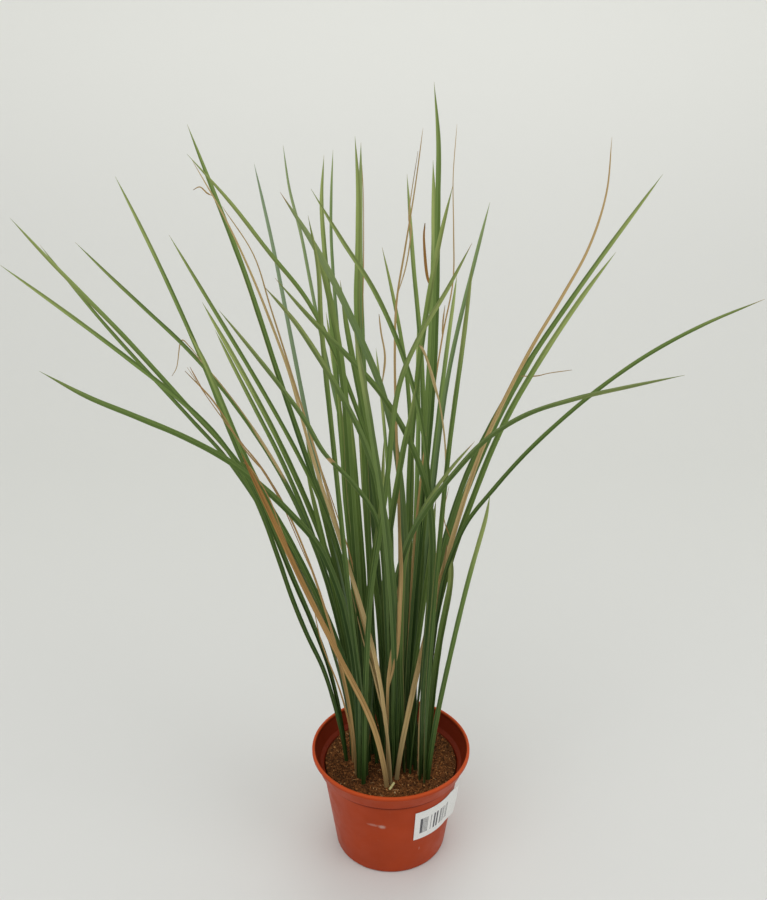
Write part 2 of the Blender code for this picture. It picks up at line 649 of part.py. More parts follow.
def tuft_pocket(name, feet, collection):
    """A prism round the leaves of one tuft, from under their feet to over the soil."""
    corners = []
    for ob in feet:
        foot_ring = [v.co for v in ob.data.vertices[:4]]
        next_ring = [v.co for v in ob.data.vertices[4:8]]
        for low, high in zip(foot_ring, next_ring):
            share = (SOIL_TOP + POCKET_REACH - low.z) / (high.z - low.z)
            corners += [low.xy, low.lerp(high, share).xy]
    ring = [corners[i] for i in geometry.convex_hull_2d(corners)]
    middle = sum(ring, Vector((0, 0))) / len(ring)
    ring = [p + (p - middle).normalized() * POCKET_MARGIN for p in ring]
    low = min(v.co.z for ob in feet for v in ob.data.vertices) - GAP
    bm = bmesh.new()
    base = bm.faces.new([bm.verts.new((p.x, p.y, low)) for p in ring])
    grown = bmesh.ops.extrude_face_region(bm, geom=[base])
    top = [v for v in grown["geom"] if isinstance(v, bmesh.types.BMVert)]
    bmesh.ops.translate(bm, verts=top, vec=(0, 0, SOIL_TOP + POCKET_TOP - low))
    bmesh.ops.recalc_face_normals(bm, faces=bm.faces)
    pocket = object_from(bm, name, collection)
    hide_as_cutter(pocket)
    return pocket


def make_leaves(collection, cutters, soil):
    """All the leaves, spread so that none touch, and the pockets that they stand in."""
    green = material("green_leaf", (0.085, 0.19, 0.035), 0.5)
    dry = material("dry_leaf", (0.42, 0.29, 0.13), 0.8)
    leaves = [("green_leaf", green, leaf) for leaf in GREEN_LEAVES]
    leaves += [("dry_leaf", dry, leaf) for leaf in DRY_LEAVES]
    paths = np.array([leaf_path(leaf) for _, _, leaf in leaves])
    rooms = np.array([leaf_room(leaf) for _, _, leaf in leaves])
    paths = spread_leaves(paths, rooms)
    tufts = {}
    numbers = {"green_leaf": 0, "dry_leaf": 0}
    for order, ((kind, surface, leaf), path) in enumerate(zip(leaves, paths)):
        numbers[kind] += 1
        name = f"{kind}_{numbers[kind]:02d}"
        turn = (FOOT_TURN * math.sin(order * 2.4), TIP_TURN * math.sin(order * 1.7 + 1))
        ob = make_leaf(name, leaf, path, turn, collection, surface)
        tufts.setdefault(leaf.tuft, []).append(ob)
    for tuft, feet in tufts.items():
        cut(soil, tuft_pocket("pocket_" + tuft, feet, cutters))


def main():
    cleared_scene()
    parts = new_collection(NAME)
    cutters = new_collection("cutters")
    make_pot(parts, cutters)
    soil = make_soil(parts)
    make_label(parts)
    make_stub(parts, cutters, soil)
    make_leaves(parts, cutters, soil)


main()
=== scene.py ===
"""The looks of a potted clump of ornamental grass, built round its fixed solids, in metres, +Z up."""

import math
from collections import namedtuple

import bmesh
import bpy
import numpy as np
from mathutils import Matrix, Vector, noise


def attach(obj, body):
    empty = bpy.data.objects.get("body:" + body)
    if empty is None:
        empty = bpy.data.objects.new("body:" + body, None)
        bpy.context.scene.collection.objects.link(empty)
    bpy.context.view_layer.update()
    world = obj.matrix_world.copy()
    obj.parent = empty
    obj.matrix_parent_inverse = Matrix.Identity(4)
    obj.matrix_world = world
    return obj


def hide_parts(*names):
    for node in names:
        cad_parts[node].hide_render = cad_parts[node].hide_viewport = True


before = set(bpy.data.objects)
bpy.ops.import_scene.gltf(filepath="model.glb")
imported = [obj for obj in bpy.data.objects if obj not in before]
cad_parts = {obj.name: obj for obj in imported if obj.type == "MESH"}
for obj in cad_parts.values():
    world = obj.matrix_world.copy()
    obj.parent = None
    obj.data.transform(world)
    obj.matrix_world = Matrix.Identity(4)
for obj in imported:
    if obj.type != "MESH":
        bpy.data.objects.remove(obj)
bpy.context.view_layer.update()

# Camera, at the photograph's viewing angle. Points of its view are (across, down).
EYE = np.array((-0.0056, -0.616, 0.565))
EYE_TILT = math.radians(21.2)
VIEW_FOCAL = 979.0
VIEW_CENTRE = (383.5, 450.0)
VIEW_HEIGHT = 900
SENSOR = 36.0

# Pot
POT_HEIGHT = 0.085
LIP_RADIUS = 0.06
LIP_HEIGHT = 0.003
LIP_ROUND = 0.0009
BAND_TOP_RADIUS = 0.059
BAND_FOOT_RADIUS = 0.0552
BAND_FOOT_HEIGHT = 0.0716
STEP_HEIGHT = 0.0012
WALL_TOP_RADIUS = 0.0524
WALL_FOOT_RADIUS = 0.0422
FOOT_ROUND = 0.0022
POT_WALL = 0.0012
POT_FLOOR = 0.0018
CHANNEL_RADII = (0.025, 0.0345)
CHANNEL_DEPTH = 0.0016
DRAIN_HOLES = 6
DRAIN_HOLE_RADIUS = 0.0036
DRAIN_HOLE_SIDES = 32
POT_STEPS = 160
CORNER_ROUND = 0.0004
CORNER_POINTS = 4
PLASTIC_STOPS = ((0.3, (0.355, 0.043, 0.009)), (0.7, (0.415, 0.053, 0.012)))
DUSTY_PLASTIC = (0.52, 0.26, 0.17)
# Painted shade: the dark colour painted inside the pot over the soil and in a line under the band
PAINTED_SHADE_PLASTIC = (0.07, 0.004, 0.002)
WORN_PLASTIC = (0.6, 0.5, 0.44)
# Painted highlight: the brighter orange painted round the lip's top
PAINTED_LIP_HIGHLIGHT = (0.56, 0.085, 0.018)
# Painted shadow: how far below the band's foot the dark line of its shadow is painted
UNDER_BAND = 0.0031
# Worn marks: where each shows in the view, half its length and half its height, and its strength
SCUFF = ((382, 827), (0.004, 0.003), 0.5)
SMEAR = ((373, 825), (0.0068, 0.002), 0.26)
SCRATCH = ((419, 848), (0.0006, 0.0042), 0.3)

# Soil
SOIL_TOP = 0.0712
SOIL_RADIUS = 0.05
SOIL_FOOT = 0.0037
SOIL_FOOT_RADIUS = 0.0388
SOIL_RINGS = 64
SOIL_STEPS = 200
SOIL_SWELL = 0.001
SOIL_SKIRT = 0.004
SOIL_EDGE_DROP = 0.0032
GRAINS = 7600
GRAIN_SIZES = (0.00028, 0.001)
GRAIN_KINDS = 8
FIBRES = 420
FIBRE_STEPS = 7
FIBRE_SIDES = 4
FIBRE_LENGTHS = (0.0016, 0.0058)
FIBRE_THICKNESSES = (0.00008, 0.00019)
FIBRE_LIFTS = (0.0003, 0.0012)
WORN_PATCH = (-0.0067, -0.026)
WORN_REACH = 0.006
SOIL_STOPS = (
    (0.0, (0.016, 0.008, 0.003)),
    (0.25, (0.076, 0.029, 0.009)),
    (0.5, (0.205, 0.076, 0.022)),
    (0.72, (0.37, 0.15, 0.045)),
    (0.88, (0.52, 0.26, 0.09)),
    (1.0, (0.62, 0.43, 0.22)),
)
SOIL_SEED = 7

# Price label
LABEL_HEIGHT = 0.028
LABEL_LENGTH = 0.0445
LABEL_FOOT_HEIGHT = 0.033
LABEL_START = math.radians(20.4)
LABEL_PEEL_FROM = 0.034
LABEL_PEEL = math.radians(8)
LABEL_OFF_WALL = 0.0003
LABEL_THICKNESS = 0.0002
LABEL_CURL = 0.0006
LABEL_COLUMNS = 80
LABEL_ROWS = 12
BAR_STEP = 0.00055
BARS_FROM, BARS_TO = 0.0045, 0.0325
BARS_FOOT, BARS_TOP = 0.0055, 0.0205
FIRST_BAR = 0.0022
PAPER_STOPS = ((0.3, (0.7, 0.7, 0.67)), (0.7, (0.82, 0.82, 0.8)))
INK_STOPS = ((0.35, (0.06, 0.06, 0.066)), (0.75, (0.19, 0.19, 0.2)))

# Cut stub
STUB_FOOT = (-0.0028, -0.0352, 0.069)
STUB_END = (0.0024, -0.0308, 0.0748)
STUB_RADIUS = 0.0011
STUB_SIDES = 28
STUB_STOPS = ((0.3, (0.42, 0.37, 0.12)), (0.7, (0.66, 0.6, 0.3)))

# Leaves
MERGE = 0.00002
RING_CORNERS = 4
STATIONS_PER_RING = 8
SHARES_ACROSS = (-1.0, -0.86, -0.62, -0.34, -0.1, 0.1, 0.34, 0.62, 0.86, 1.0)
KEEL_ROUND = 1.12
BLADE_THICKNESS = 0.62
TIP_FROM = 0.965
SHRUNK_FOOT = 0.45
SHRUNK_PART = 0.17
LEAF_SEED = 11

# Blades drawn by their line in the view, made as the solid ones are
FOOT_DEPTH = 0.006
FOOT_RISE = 0.012
LEAN_POWER = 1.35
TRACED_RINGS = 15
SHEATH_PART = 0.16
SHEATH_WIDTH = 0.74
SHEATH_THICKNESS = 0.002
LEAF_THICKNESS = 0.001
WIDEST_AT = 0.3
NARROWING = 0.25
TAPER_POWER = 12
TAPER_ROUND = 0.45
FOLD = 0.55
STRAND_STEPS = 7
STRAND_SIDES = 6
STRAND_FLAT = 0.4
STRAND_ROOT = 0.25
STRAND_ROOT_PART = 0.22

# foot is its place in the soil, tip_depth the tip's Y, and view_path runs from tip to foot
InnerLeaf = namedtuple("InnerLeaf", "foot width tip_depth turn view_path")
INNER_LEAVES = [InnerLeaf(*row) for row in (
    ((0.004, -0.002), 0.005, -0.09, 0.2,
     ((416, 384), (412, 409), (405, 438), (400, 466), (394, 500), (388, 545), (384, 620))),
    ((-0.0105, -0.005), 0.0036, -0.03, -0.3,
     ((384, 440), (382, 500), (375, 545), (369, 590), (365, 653))),
    ((-0.0165, -0.004), 0.004, 0.02, 0.3,
     ((336, 380), (339, 400), (342, 443), (344, 489), (348, 530), (356, 620))),
    ((0.015, -0.002), 0.0044, 0.0, 0.4,
     ((428, 470), (424, 520), (416, 590), (409, 660))),
    ((0.0185, -0.012), 0.0042, -0.03, -0.4,
     ((436, 500), (430, 560), (421, 625), (413, 690))),
    ((0.008, 0.002), 0.0042, 0.03, 0.1,
     ((402, 500), (402, 560), (398, 640), (394, 690))),
    ((0.006, 0.006), 0.0044, 0.06, -0.2,
     ((413, 440), (411, 520), (405, 610), (398, 680))),
    ((-0.006, 0.003), 0.0044, 0.05, 0.4,
     ((358, 400), (362, 470), (368, 560), (374, 660))),
    ((-0.009, 0.0), 0.0042, 0.02, -0.1,
     ((348, 470), (354, 540), (362, 620), (368, 690))),
    ((-0.003, 0.006), 0.005, 0.01, 0.2,
     ((366, 530), (373, 570), (378, 610), (381, 650), (383, 700))),
    ((-0.012, 0.006), 0.0048, 0.06, -0.2,
     ((349, 400), (354, 450), (359, 510), (363, 560), (368, 640))),
    ((-0.021, -0.006), 0.0044, 0.02, 0.3,
     ((306, 470), (318, 520), (330, 570), (339, 612), (347, 655), (352, 700))),
    ((-0.019, 0.004), 0.0044, 0.06, -0.3,
     ((306, 440), (318, 490), (329, 535), (337, 570), (347, 620), (354, 680))),
)]

# leaf carries the strand, drift is how far its free end stands back, tint runs from pale to brown
Strand = namedtuple("Strand", "leaf width drift tint view_path")
STRANDS = [Strand(*row) for row in (
    ("dry_leaf_03", 0.001, 0.004, -0.4,
     ((397, 298), (406, 266), (411, 232), (409, 212), (418, 151))),
    ("green_leaf_28", 0.0022, -0.004, 1.0, ((428, 292), (427, 275), (424, 240), (425, 223))),
    ("green_leaf_16", 0.0013, 0.004, -0.2, ((388, 390), (385, 358), (381, 332), (379, 314))),
    ("dry_leaf_02", 0.0012, 0.003, 0.0, ((442, 340), (443, 322), (445, 305))),
    ("green_leaf_04", 0.001, -0.004, 0.0,
     ((206, 364), (190, 347), (181, 341), (177, 366), (172, 376))),
    ("green_leaf_35", 0.001, 0.004, 0.1, ((524, 381), (536, 376), (550, 373), (572, 370))),
    ("green_leaf_47", 0.0012, -0.002, 0.1, ((333, 442), (331, 424), (327, 398))),
    ("green_leaf_40", 0.0013, 0.004, 0.4, ((422, 660), (426, 630), (436, 588), (444, 566))),
    ("green_leaf_22", 0.0008, 0.002, 0.2, ((362, 330), (363.5, 260), (363.4, 200), (362, 165))),
    ("dry_leaf_04", 0.0013, -0.004, 0.1, ((262, 474), (243, 447), (214, 402), (185, 371))),
    ("dry_leaf_04", 0.0008, 0.003, 0.4, ((206, 396), (196, 378), (190, 367))),
    ("dry_leaf_06", 0.0008, -0.003, 0.0, ((214, 200), (207, 193), (200, 187), (193, 190))),
    ("green_leaf_35", 0.0009, 0.003, 0.2, ((490, 430), (496, 436), (500, 440))),
    ("dry_leaf_06", 0.0015, 0.003, -0.3,
     ((386, 736), (384, 715), (379, 697), (372, 669), (363, 640), (351, 590))),
    ("dry_leaf_07", 0.0012, -0.004, 0.3,
     ((367, 640), (360, 600), (350, 555), (337, 515), (320, 465))),
    ("dry_leaf_05", 0.0011, 0.004, 0.3,
     ((300, 580), (285, 540), (270, 500), (252, 470), (243, 462))),
    ("dry_leaf_04", 0.0009, 0.004, 0.5,
     ((318, 585), (300, 545), (281, 502), (262, 470), (240, 440))),
    ("dry_leaf_04", 0.0007, -0.002, 0.7, ((290, 520), (270, 480), (252, 455), (236, 438))),
    ("green_leaf_36", 0.0007, 0.003, 0.6, ((447, 545), (444, 518), (449, 486))),
    ("dry_leaf_03", 0.0034, -0.034, 0.0,
     ((394, 688), (397, 650), (400, 600), (401, 560), (398, 505))),
    ("dry_leaf_01", 0.0024, -0.02, -0.1,
     ((418, 668), (431, 627), (438, 600), (443, 570), (447, 545))),
    ("dry_leaf_09", 0.002, -0.003, -1.0, ((441, 404), (431, 372), (424, 352), (419, 345))),
)]

# Dead margins, between two points of the view; side is 1 for the right or lower one
DeadMargin = namedtuple("DeadMargin", "leaf side inner start end")
DEAD_MARGINS = (
    DeadMargin("green_leaf_07", 1.0, 0.1, (196, 358), (262, 442)),
    DeadMargin("green_leaf_07", 1.0, -0.55, (252, 430), (282, 480)),
    DeadMargin("green_leaf_12", -1.0, 0.8, (240, 262), (285, 400)),
    DeadMargin("green_leaf_35", 1.0, 0.7, (500, 405), (470, 470)),
)
PaleSpot = namedtuple("PaleSpot", "leaf pixel length")
PALE_SPOTS = (
    PaleSpot("green_leaf_11", (332, 461), 0.006),
    PaleSpot("green_leaf_40", (451, 549), 0.02),
    PaleSpot("green_leaf_42", (475, 441), 0.03),
)

# Each leaf's tint at the foot and at the tip, from -1, pale, to 1, brown on a dry leaf or bluish on a green
TINTS = {
    "green_leaf_07": (-0.8, -0.8),
    "green_leaf_12": (-0.6, -0.6),
    "green_leaf_14": (0.4, 0.8),
    "green_leaf_15": (0.2, 0.5),
    "green_leaf_16": (0.0, 0.4),
    "green_leaf_19": (0.3, 0.3),
    "green_leaf_22": (0.1, 0.3),
    "green_leaf_32": (0.2, 0.4),
    "green_leaf_40": (-0.8, -0.8),
    "dry_leaf_01": (-0.4, -0.1),
    "dry_leaf_02": (0.3, -0.1),
    "dry_leaf_03": (0.0, -0.2),
    "dry_leaf_04": (0.2, 0.1),
    "dry_leaf_05": (-0.1, 1.0),
    "dry_leaf_06": (-0.4, -0.7),
    "dry_leaf_07": (0.0, -0.3),
    "dry_leaf_08": (0.3, 0.3),
    "dry_leaf_09": (-0.4, -0.8),
}
EVEN_TINT = (0.0, 0.0)

# Leaf colours, from the foot to the tip, darker low down and paler up the leaf partly as painted shade and
# light, and the light and dark of the streaks, which also serve for the painted light and shade on each
# blade
GREEN_STOPS = (
    (0.0, (0.022, 0.05, 0.007)),
    (0.1, (0.015, 0.044, 0.005)),
    (0.33, (0.034, 0.074, 0.009)),
    (0.58, (0.088, 0.15, 0.024)),
    (0.8, (0.15, 0.228, 0.048)),
    (0.95, (0.33, 0.39, 0.12)),
)
GREEN_STREAK_AND_SHADE = ((0.19, 0.265, 0.08), (0.014, 0.042, 0.005))
# Painted light and shade: how much lighter one half of a folded blade is painted, and how much darker the
# other
PAINTED_FOLD_SHADING = (0.16, 0.34)
# Painted shade at a green leaf's foot
GREEN_FOOT_SHADE = (0.014, 0.04, 0.006)
DRY_STOPS = (
    (0.0, (0.2, 0.12, 0.05)),
    (0.6, (0.46, 0.31, 0.15)),
)
DRY_STREAK_AND_SHADE = ((0.6, 0.47, 0.29), (0.15, 0.08, 0.035))
# Painted shade at a dry leaf's foot
DRY_FOOT_SHADE = (0.12, 0.088, 0.034)
PALE_STRAW = ((0.25, (0.29, 0.205, 0.08)), (0.5, (0.52, 0.395, 0.18)), (0.8, (0.7, 0.6, 0.35)))
BROWN_STRAW = ((0.25, (0.11, 0.056, 0.018)), (0.5, (0.33, 0.165, 0.042)), (0.8, (0.52, 0.3, 0.1)))
COOL_GREEN = (0.215, 0.29, 0.175)

# A leaf's noise: its scale across and along the leaf, its detail and roughness
STREAK_NOISE = (5.0, 14.0, 4.0, 0.6)
PATCH_NOISE = (0.8, 26.0, 3.0, 0.5)
LEAF_APART = 53.0

# Studio: the floor near and far, the backdrop, painted lighter where light falls brighter on it, and each
# light's place, size and power
FLOOR_NEAR = (0.67, 0.672, 0.65)
FLOOR_FAR = (0.665, 0.67, 0.64)
PAINTED_LIT_BACKDROP = (0.79, 0.795, 0.755)
SWEEP_NEAR, SWEEP_FAR = -4.0, 1.9
SWEEP_TURN, SWEEP_TOP, SWEEP_WIDE = 1.1, 4.5, 6.0
LIGHTS = {
    "key_light": ((-0.9, -1.5, 2.4), (0.0, 0.0, 0.25), 2.6, 25.0),
    "fill_light": ((1.7, -0.9, 1.6), (0.0, 0.0, 0.25), 1.4, 10.0),
    "back_light": ((0.2, 1.2, 2.6), (0.0, 0.2, 0.3), 1.6, 12.0),
}
AIR_LIGHT = 0.66


# Node helpers


def shader_node(tree, kind, inputs=None, **settings):
    """A new node of that kind. An input is a plain value or the output that it follows."""
    made = tree.nodes.new("ShaderNode" + kind)
    for key, value in settings.items():
        setattr(made, key, value)
    for key, value in (inputs or {}).items():
        if isinstance(value, bpy.types.NodeSocket):
            tree.links.new(value, made.inputs[key])
        else:
            made.inputs[key].default_value = value
    return made


def calc(tree, operation, *values):
    """The result of a sum on numbers."""
    return shader_node(tree, "Math", dict(enumerate(values)), operation=operation).outputs[0]


def spread(tree, value, low, high, new_low=0.0, new_high=1.0):
    """Value taken from one range to another, smooth and held at both ends."""
    inputs = {0: value, 1: low, 2: high, 3: new_low, 4: new_high}
    return shader_node(tree, "MapRange", inputs, interpolation_type="SMOOTHSTEP").outputs[0]


def measure(tree, name):
    """A value that is kept in a piece's mesh."""
    return shader_node(tree, "Attribute", attribute_name=name).outputs["Fac"]


def place(tree, x, y, z):
    """A point made of three numbers."""
    return shader_node(tree, "CombineXYZ", {0: x, 1: y, 2: z}).outputs[0]


def own_place(tree, stretch=(1.0, 1.0, 1.0)):
    """The place on the piece, in metres, stretched by axis."""
    here = shader_node(tree, "TexCoord").outputs["Object"]
    return shader_node(tree, "Mapping", {"Vector": here, "Scale": stretch}).outputs[0]


def clouds(tree, vector, scale, detail=3.0, roughness=0.55):
    """Soft noise from 0 to 1."""
    inputs = {"Vector": vector, "Scale": scale, "Detail": detail, "Roughness": roughness}
    return shader_node(tree, "TexNoise", inputs).outputs["Fac"]


def ramp(tree, value, stops):
    """A colour that runs through the stops, each a place from 0 to 1 and a colour."""
    made = shader_node(tree, "ValToRGB", {"Fac": value})
    elements = made.color_ramp.elements
    while len(elements) < len(stops):
        elements.new(0.5)
    for element, (at, colour) in zip(elements, stops):
        element.position = at
        element.color = (*colour, 1.0)
    return made.outputs[0]


def blend_colours(tree, share, first, second):
    """Two colours mixed; share is how much of the second there is."""
    made = shader_node(tree, "Mix", {0: share}, data_type="RGBA")
    for index, value in ((6, first), (7, second)):
        if isinstance(value, bpy.types.NodeSocket):
            tree.links.new(value, made.inputs[index])
        else:
            made.inputs[index].default_value = (*value, 1.0)
    return made.outputs[2]


def tinged(tree, colour, other, value, low, high, share=1.0):
    """A colour that takes on another as a value runs from low to high, up to that share."""
    return blend_colours(tree, spread(tree, value, low, high, 0.0, share), colour, other)


def swing(tree, value, size):
    """A value from 0 to 1 as one of that size round zero."""
    return calc(tree, "MULTIPLY", calc(tree, "SUBTRACT", value, 0.5), size)


def length_of(tree, vector):
    """How long a vector is."""
    return shader_node(tree, "VectorMath", {0: vector}, operation="LENGTH").outputs["Value"]


def relief(tree, height, distance, strength=1.0, under=None):
    """A bumpy normal; distance is the height in metres of a step from 0 to 1."""
    inputs = {"Height": height, "Distance": distance, "Strength": strength}
    if under is not None:
        inputs["Normal"] = under
    return shader_node(tree, "Bump", inputs).outputs["Normal"]


def new_surface(name, specular):
    """A material and its tree and shader."""
    made = bpy.data.materials.new(name)
    made.use_nodes = True
    shader = made.node_tree.nodes["Principled BSDF"]
    shader.inputs["Specular IOR Level"].default_value = specular
    return made, made.node_tree, shader


def drive(tree, shader, colour=None, roughness=None, normal=None):
    """Links a shader's colour, roughness and normal."""
    for name, value in (("Base Color", colour), ("Roughness", roughness), ("Normal", normal)):
        if isinstance(value, bpy.types.NodeSocket):
            tree.links.new(value, shader.inputs[name])
        elif value is not None:
            shader.inputs[name].default_value = value


# Mesh helpers


def put_in_scene(name, data):
    """A new object in the scene."""
    made = bpy.data.objects.new(name, data)
    bpy.context.scene.collection.objects.link(made)
    return made


def new_piece(name, points, faces, surface, measures=None):
    """A smooth mesh object with its values kept point by point."""
    mesh = bpy.data.meshes.new(name)
    mesh.from_pydata([tuple(p) for p in points], [], faces)
    mesh.materials.append(surface)
    for key, values in (measures or {}).items():
        kept = mesh.attributes.new(key, "FLOAT", "POINT")
        kept.data.foreach_set("value", np.asarray(values, np.float32))
    mesh.shade_smooth()
    return put_in_scene(name, mesh)


def finished(bm, name):
    """The object of a bmesh, which is then let go."""
    mesh = bpy.data.meshes.new(name)
    bm.to_mesh(mesh)
    bm.free()
    return put_in_scene(name, mesh)


def stands_for(piece, slot, *nodes):
    """The piece goes with the plant and takes the place of its solids."""
    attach(piece, "root")
    if nodes:
        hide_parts(*nodes)
    return piece


def ring_faces(rings, corners):
    """The faces between rings that follow one another."""
    faces = []
    for first in range(0, (rings - 1) * corners, corners):
        for i in range(corners):
            j = (i + 1) % corners
            faces.append((first + i, first + j, first + corners + j, first + corners + i))
    return faces


def tube_faces(rings, corners):
    """The faces of a closed tube of rings, with both ends capped."""
    ends = [tuple(reversed(range(corners))), tuple(range((rings - 1) * corners, rings * corners))]
    return ring_faces(rings, corners) + ends


def circle(radius, steps):
    """Points round the axis, as x and y."""
    angles = [2 * math.pi * i / steps for i in range(steps)]
    return [(radius * math.cos(a), radius * math.sin(a)) for a in angles]


def run_along(points):
    """How far along a line each of its points lies."""
    steps = np.linalg.norm(np.diff(np.asarray(points, float), axis=0), axis=1)
    return np.concatenate(([0.0], np.cumsum(steps)))


def for_each_corner(rings, corners, **values):
    """Values for each corner of each ring. One that runs along the rings is a column."""
    grid = np.ones((rings, corners))
    return {name: (grid * value).ravel() for name, value in values.items()}


def smooth_through(values, per_step):
    """Values on a smooth curve through the given ones, per_step of them for each step."""
    values = np.asarray(values, float)
    slopes = np.gradient(values, axis=0)
    at = np.linspace(0.0, len(values) - 1, (len(values) - 1) * per_step + 1)
    span = np.minimum(at.astype(int), len(values) - 2)
    t = at - span
    if values.ndim > 1:
        t = t[:, None]
    curve = (2 * t**3 - 3 * t**2 + 1) * values[span] + (t**3 - 2 * t**2 + t) * slopes[span]
    return curve + (3 * t**2 - 2 * t**3) * values[span + 1] + (t**3 - t**2) * slopes[span + 1]


def unit(vectors):
    """Vectors at length one."""
    return vectors / np.maximum(np.linalg.norm(vectors, axis=-1, keepdims=True), 1e-9)


# The view


def sight(pixel):
    """The direction in which a point of the view lies, from the eye."""
    across = (pixel[0] - VIEW_CENTRE[0]) / VIEW_FOCAL
    up = (VIEW_CENTRE[1] - pixel[1]) / VIEW_FOCAL
    level = math.cos(EYE_TILT) + up * math.sin(EYE_TILT)
    return np.array((across, level, up * math.cos(EYE_TILT) - math.sin(EYE_TILT)))


def seen_at(pixel, depth):
    """The point at Y = depth that shows at a point of the view."""
    line = sight(pixel)
    return EYE + line * (depth - EYE[1]) / line[1]


def in_view(points):
    """Where points show in the view."""
    run = np.asarray(points) - EYE
    away = run[..., 1] * math.cos(EYE_TILT) - run[..., 2] * math.sin(EYE_TILT)
    up = run[..., 1] * math.sin(EYE_TILT) + run[..., 2] * math.cos(EYE_TILT)
    across = VIEW_CENTRE[0] + VIEW_FOCAL * run[..., 0] / away
    return np.stack([across, VIEW_CENTRE[1] - VIEW_FOCAL * up / away], axis=-1)


def nearest_in_view(line, pixel):
    """Which point of a line shows nearest to a point of the view."""
    return int(np.argmin(np.linalg.norm(in_view(line) - np.array(pixel), axis=1)))


def wall_point(pixel):
    """The point of the pot's outer wall that shows at a point of the view."""
    line = sight(pixel)
    for step in np.linspace(0.5, 0.9, 4001):
        point = EYE + line * step
        if math.hypot(point[0], point[1]) < wall_radius(point[2]):
            return point
    return None


# Pot


def wall_radius(height):
    """The outer radius of the pot's tapered wall at a height."""
    share = height / BAND_FOOT_HEIGHT
    return WALL_FOOT_RADIUS + (WALL_TOP_RADIUS - WALL_FOOT_RADIUS) * share


def pot_section():
    """The corners of the pot's section, each with its round: inner side up, outer side down."""
    lip_foot = POT_HEIGHT - LIP_HEIGHT
    wall_top = BAND_FOOT_HEIGHT - STEP_HEIGHT
    ledge_top = BAND_FOOT_HEIGHT + POT_WALL
    lip_inside = BAND_TOP_RADIUS - POT_WALL
    inner, outer = CHANNEL_RADII
    slope = CHANNEL_DEPTH
    small = CORNER_ROUND
    return (
        (0.0, POT_FLOOR, 0.0),
        (inner - slope, POT_FLOOR, small),
        (inner, POT_FLOOR + CHANNEL_DEPTH, small),
        (outer, POT_FLOOR + CHANNEL_DEPTH, small),
        (outer + slope, POT_FLOOR, small),
        (wall_radius(POT_FLOOR) - POT_WALL, POT_FLOOR, FOOT_ROUND),
        (wall_radius(wall_top) - POT_WALL, wall_top, small),
        (BAND_FOOT_RADIUS - POT_WALL, ledge_top, small),
        (lip_inside, lip_foot, small),
        (lip_inside, POT_HEIGHT, LIP_ROUND),
        (LIP_RADIUS, POT_HEIGHT, LIP_ROUND),
        (LIP_RADIUS, lip_foot, LIP_ROUND),
        (BAND_TOP_RADIUS, lip_foot, small),
        (BAND_FOOT_RADIUS, BAND_FOOT_HEIGHT, small),
        (wall_radius(wall_top), wall_top, small),
        (WALL_FOOT_RADIUS, 0.0, FOOT_ROUND),
        (outer, 0.0, small),
        (outer - slope, CHANNEL_DEPTH, small),
        (inner + slope, CHANNEL_DEPTH, small),
        (inner, 0.0, small),
        (0.0, 0.0, 0.0),
    )


def rounded(section):
    """A section's points with each corner cut back and rounded off."""
    points = [np.array(section[0][:2])]
    for before, corner, after in zip(section, section[1:], section[2:]):
        here = np.array(corner[:2])
        back = np.array(before[:2]) - here
        on = np.array(after[:2]) - here
        reach = min(corner[2], 0.45 * np.linalg.norm(back), 0.45 * np.linalg.norm(on))
        start = here + unit(back) * reach
        end = here + unit(on) * reach
        for t in np.linspace(0.0, 1.0, CORNER_POINTS):
            points.append((1 - t) ** 2 * start + 2 * t * (1 - t) * here + t**2 * end)
    points.append(np.array(section[-1][:2]))
    return points


def turned(name, profile, steps, surface):
    """A body turned from a closed profile whose two ends lie on the axis."""
    rims = profile[1:-1]
    points = [(*at, height) for radius, height in rims for at in circle(radius, steps)]
    faces = ring_faces(len(rims), steps)
    start, end = len(points), len(points) + 1
    points += [(0.0, 0.0, profile[0][1]), (0.0, 0.0, profile[-1][1])]
    last = (len(rims) - 1) * steps
    for i in range(steps):
        j = (i + 1) % steps
        faces.append((start, j, i))
        faces.append((end, last + i, last + j))
    return new_piece(name, points, faces, surface)


def inside_the_pot(tree):
    """One on the pot's inner side over the soil, and zero on its outer side."""
    axes = shader_node(tree, "SeparateXYZ", {0: own_place(tree)}).outputs
    radius = length_of(tree, place(tree, axes["X"], axes["Y"], 0.0))
    lip_foot = POT_HEIGHT - LIP_HEIGHT
    heights = {0: axes["Z"], 1: BAND_FOOT_HEIGHT, 2: lip_foot, 3: BAND_FOOT_RADIUS, 4: BAND_TOP_RADIUS}
    outer = shader_node(tree, "MapRange", heights, interpolation_type="LINEAR").outputs[0]
    deep = calc(tree, "LESS_THAN", radius, calc(tree, "SUBTRACT", outer, POT_WALL / 2))
    above = spread(tree, axes["Z"], SOIL_TOP - 0.002, SOIL_TOP - 0.001)
    below_lip = spread(tree, axes["Z"], POT_HEIGHT - 0.0005, POT_HEIGHT - 0.0025)
    return calc(tree, "MULTIPLY", deep, calc(tree, "MULTIPLY", above, below_lip))


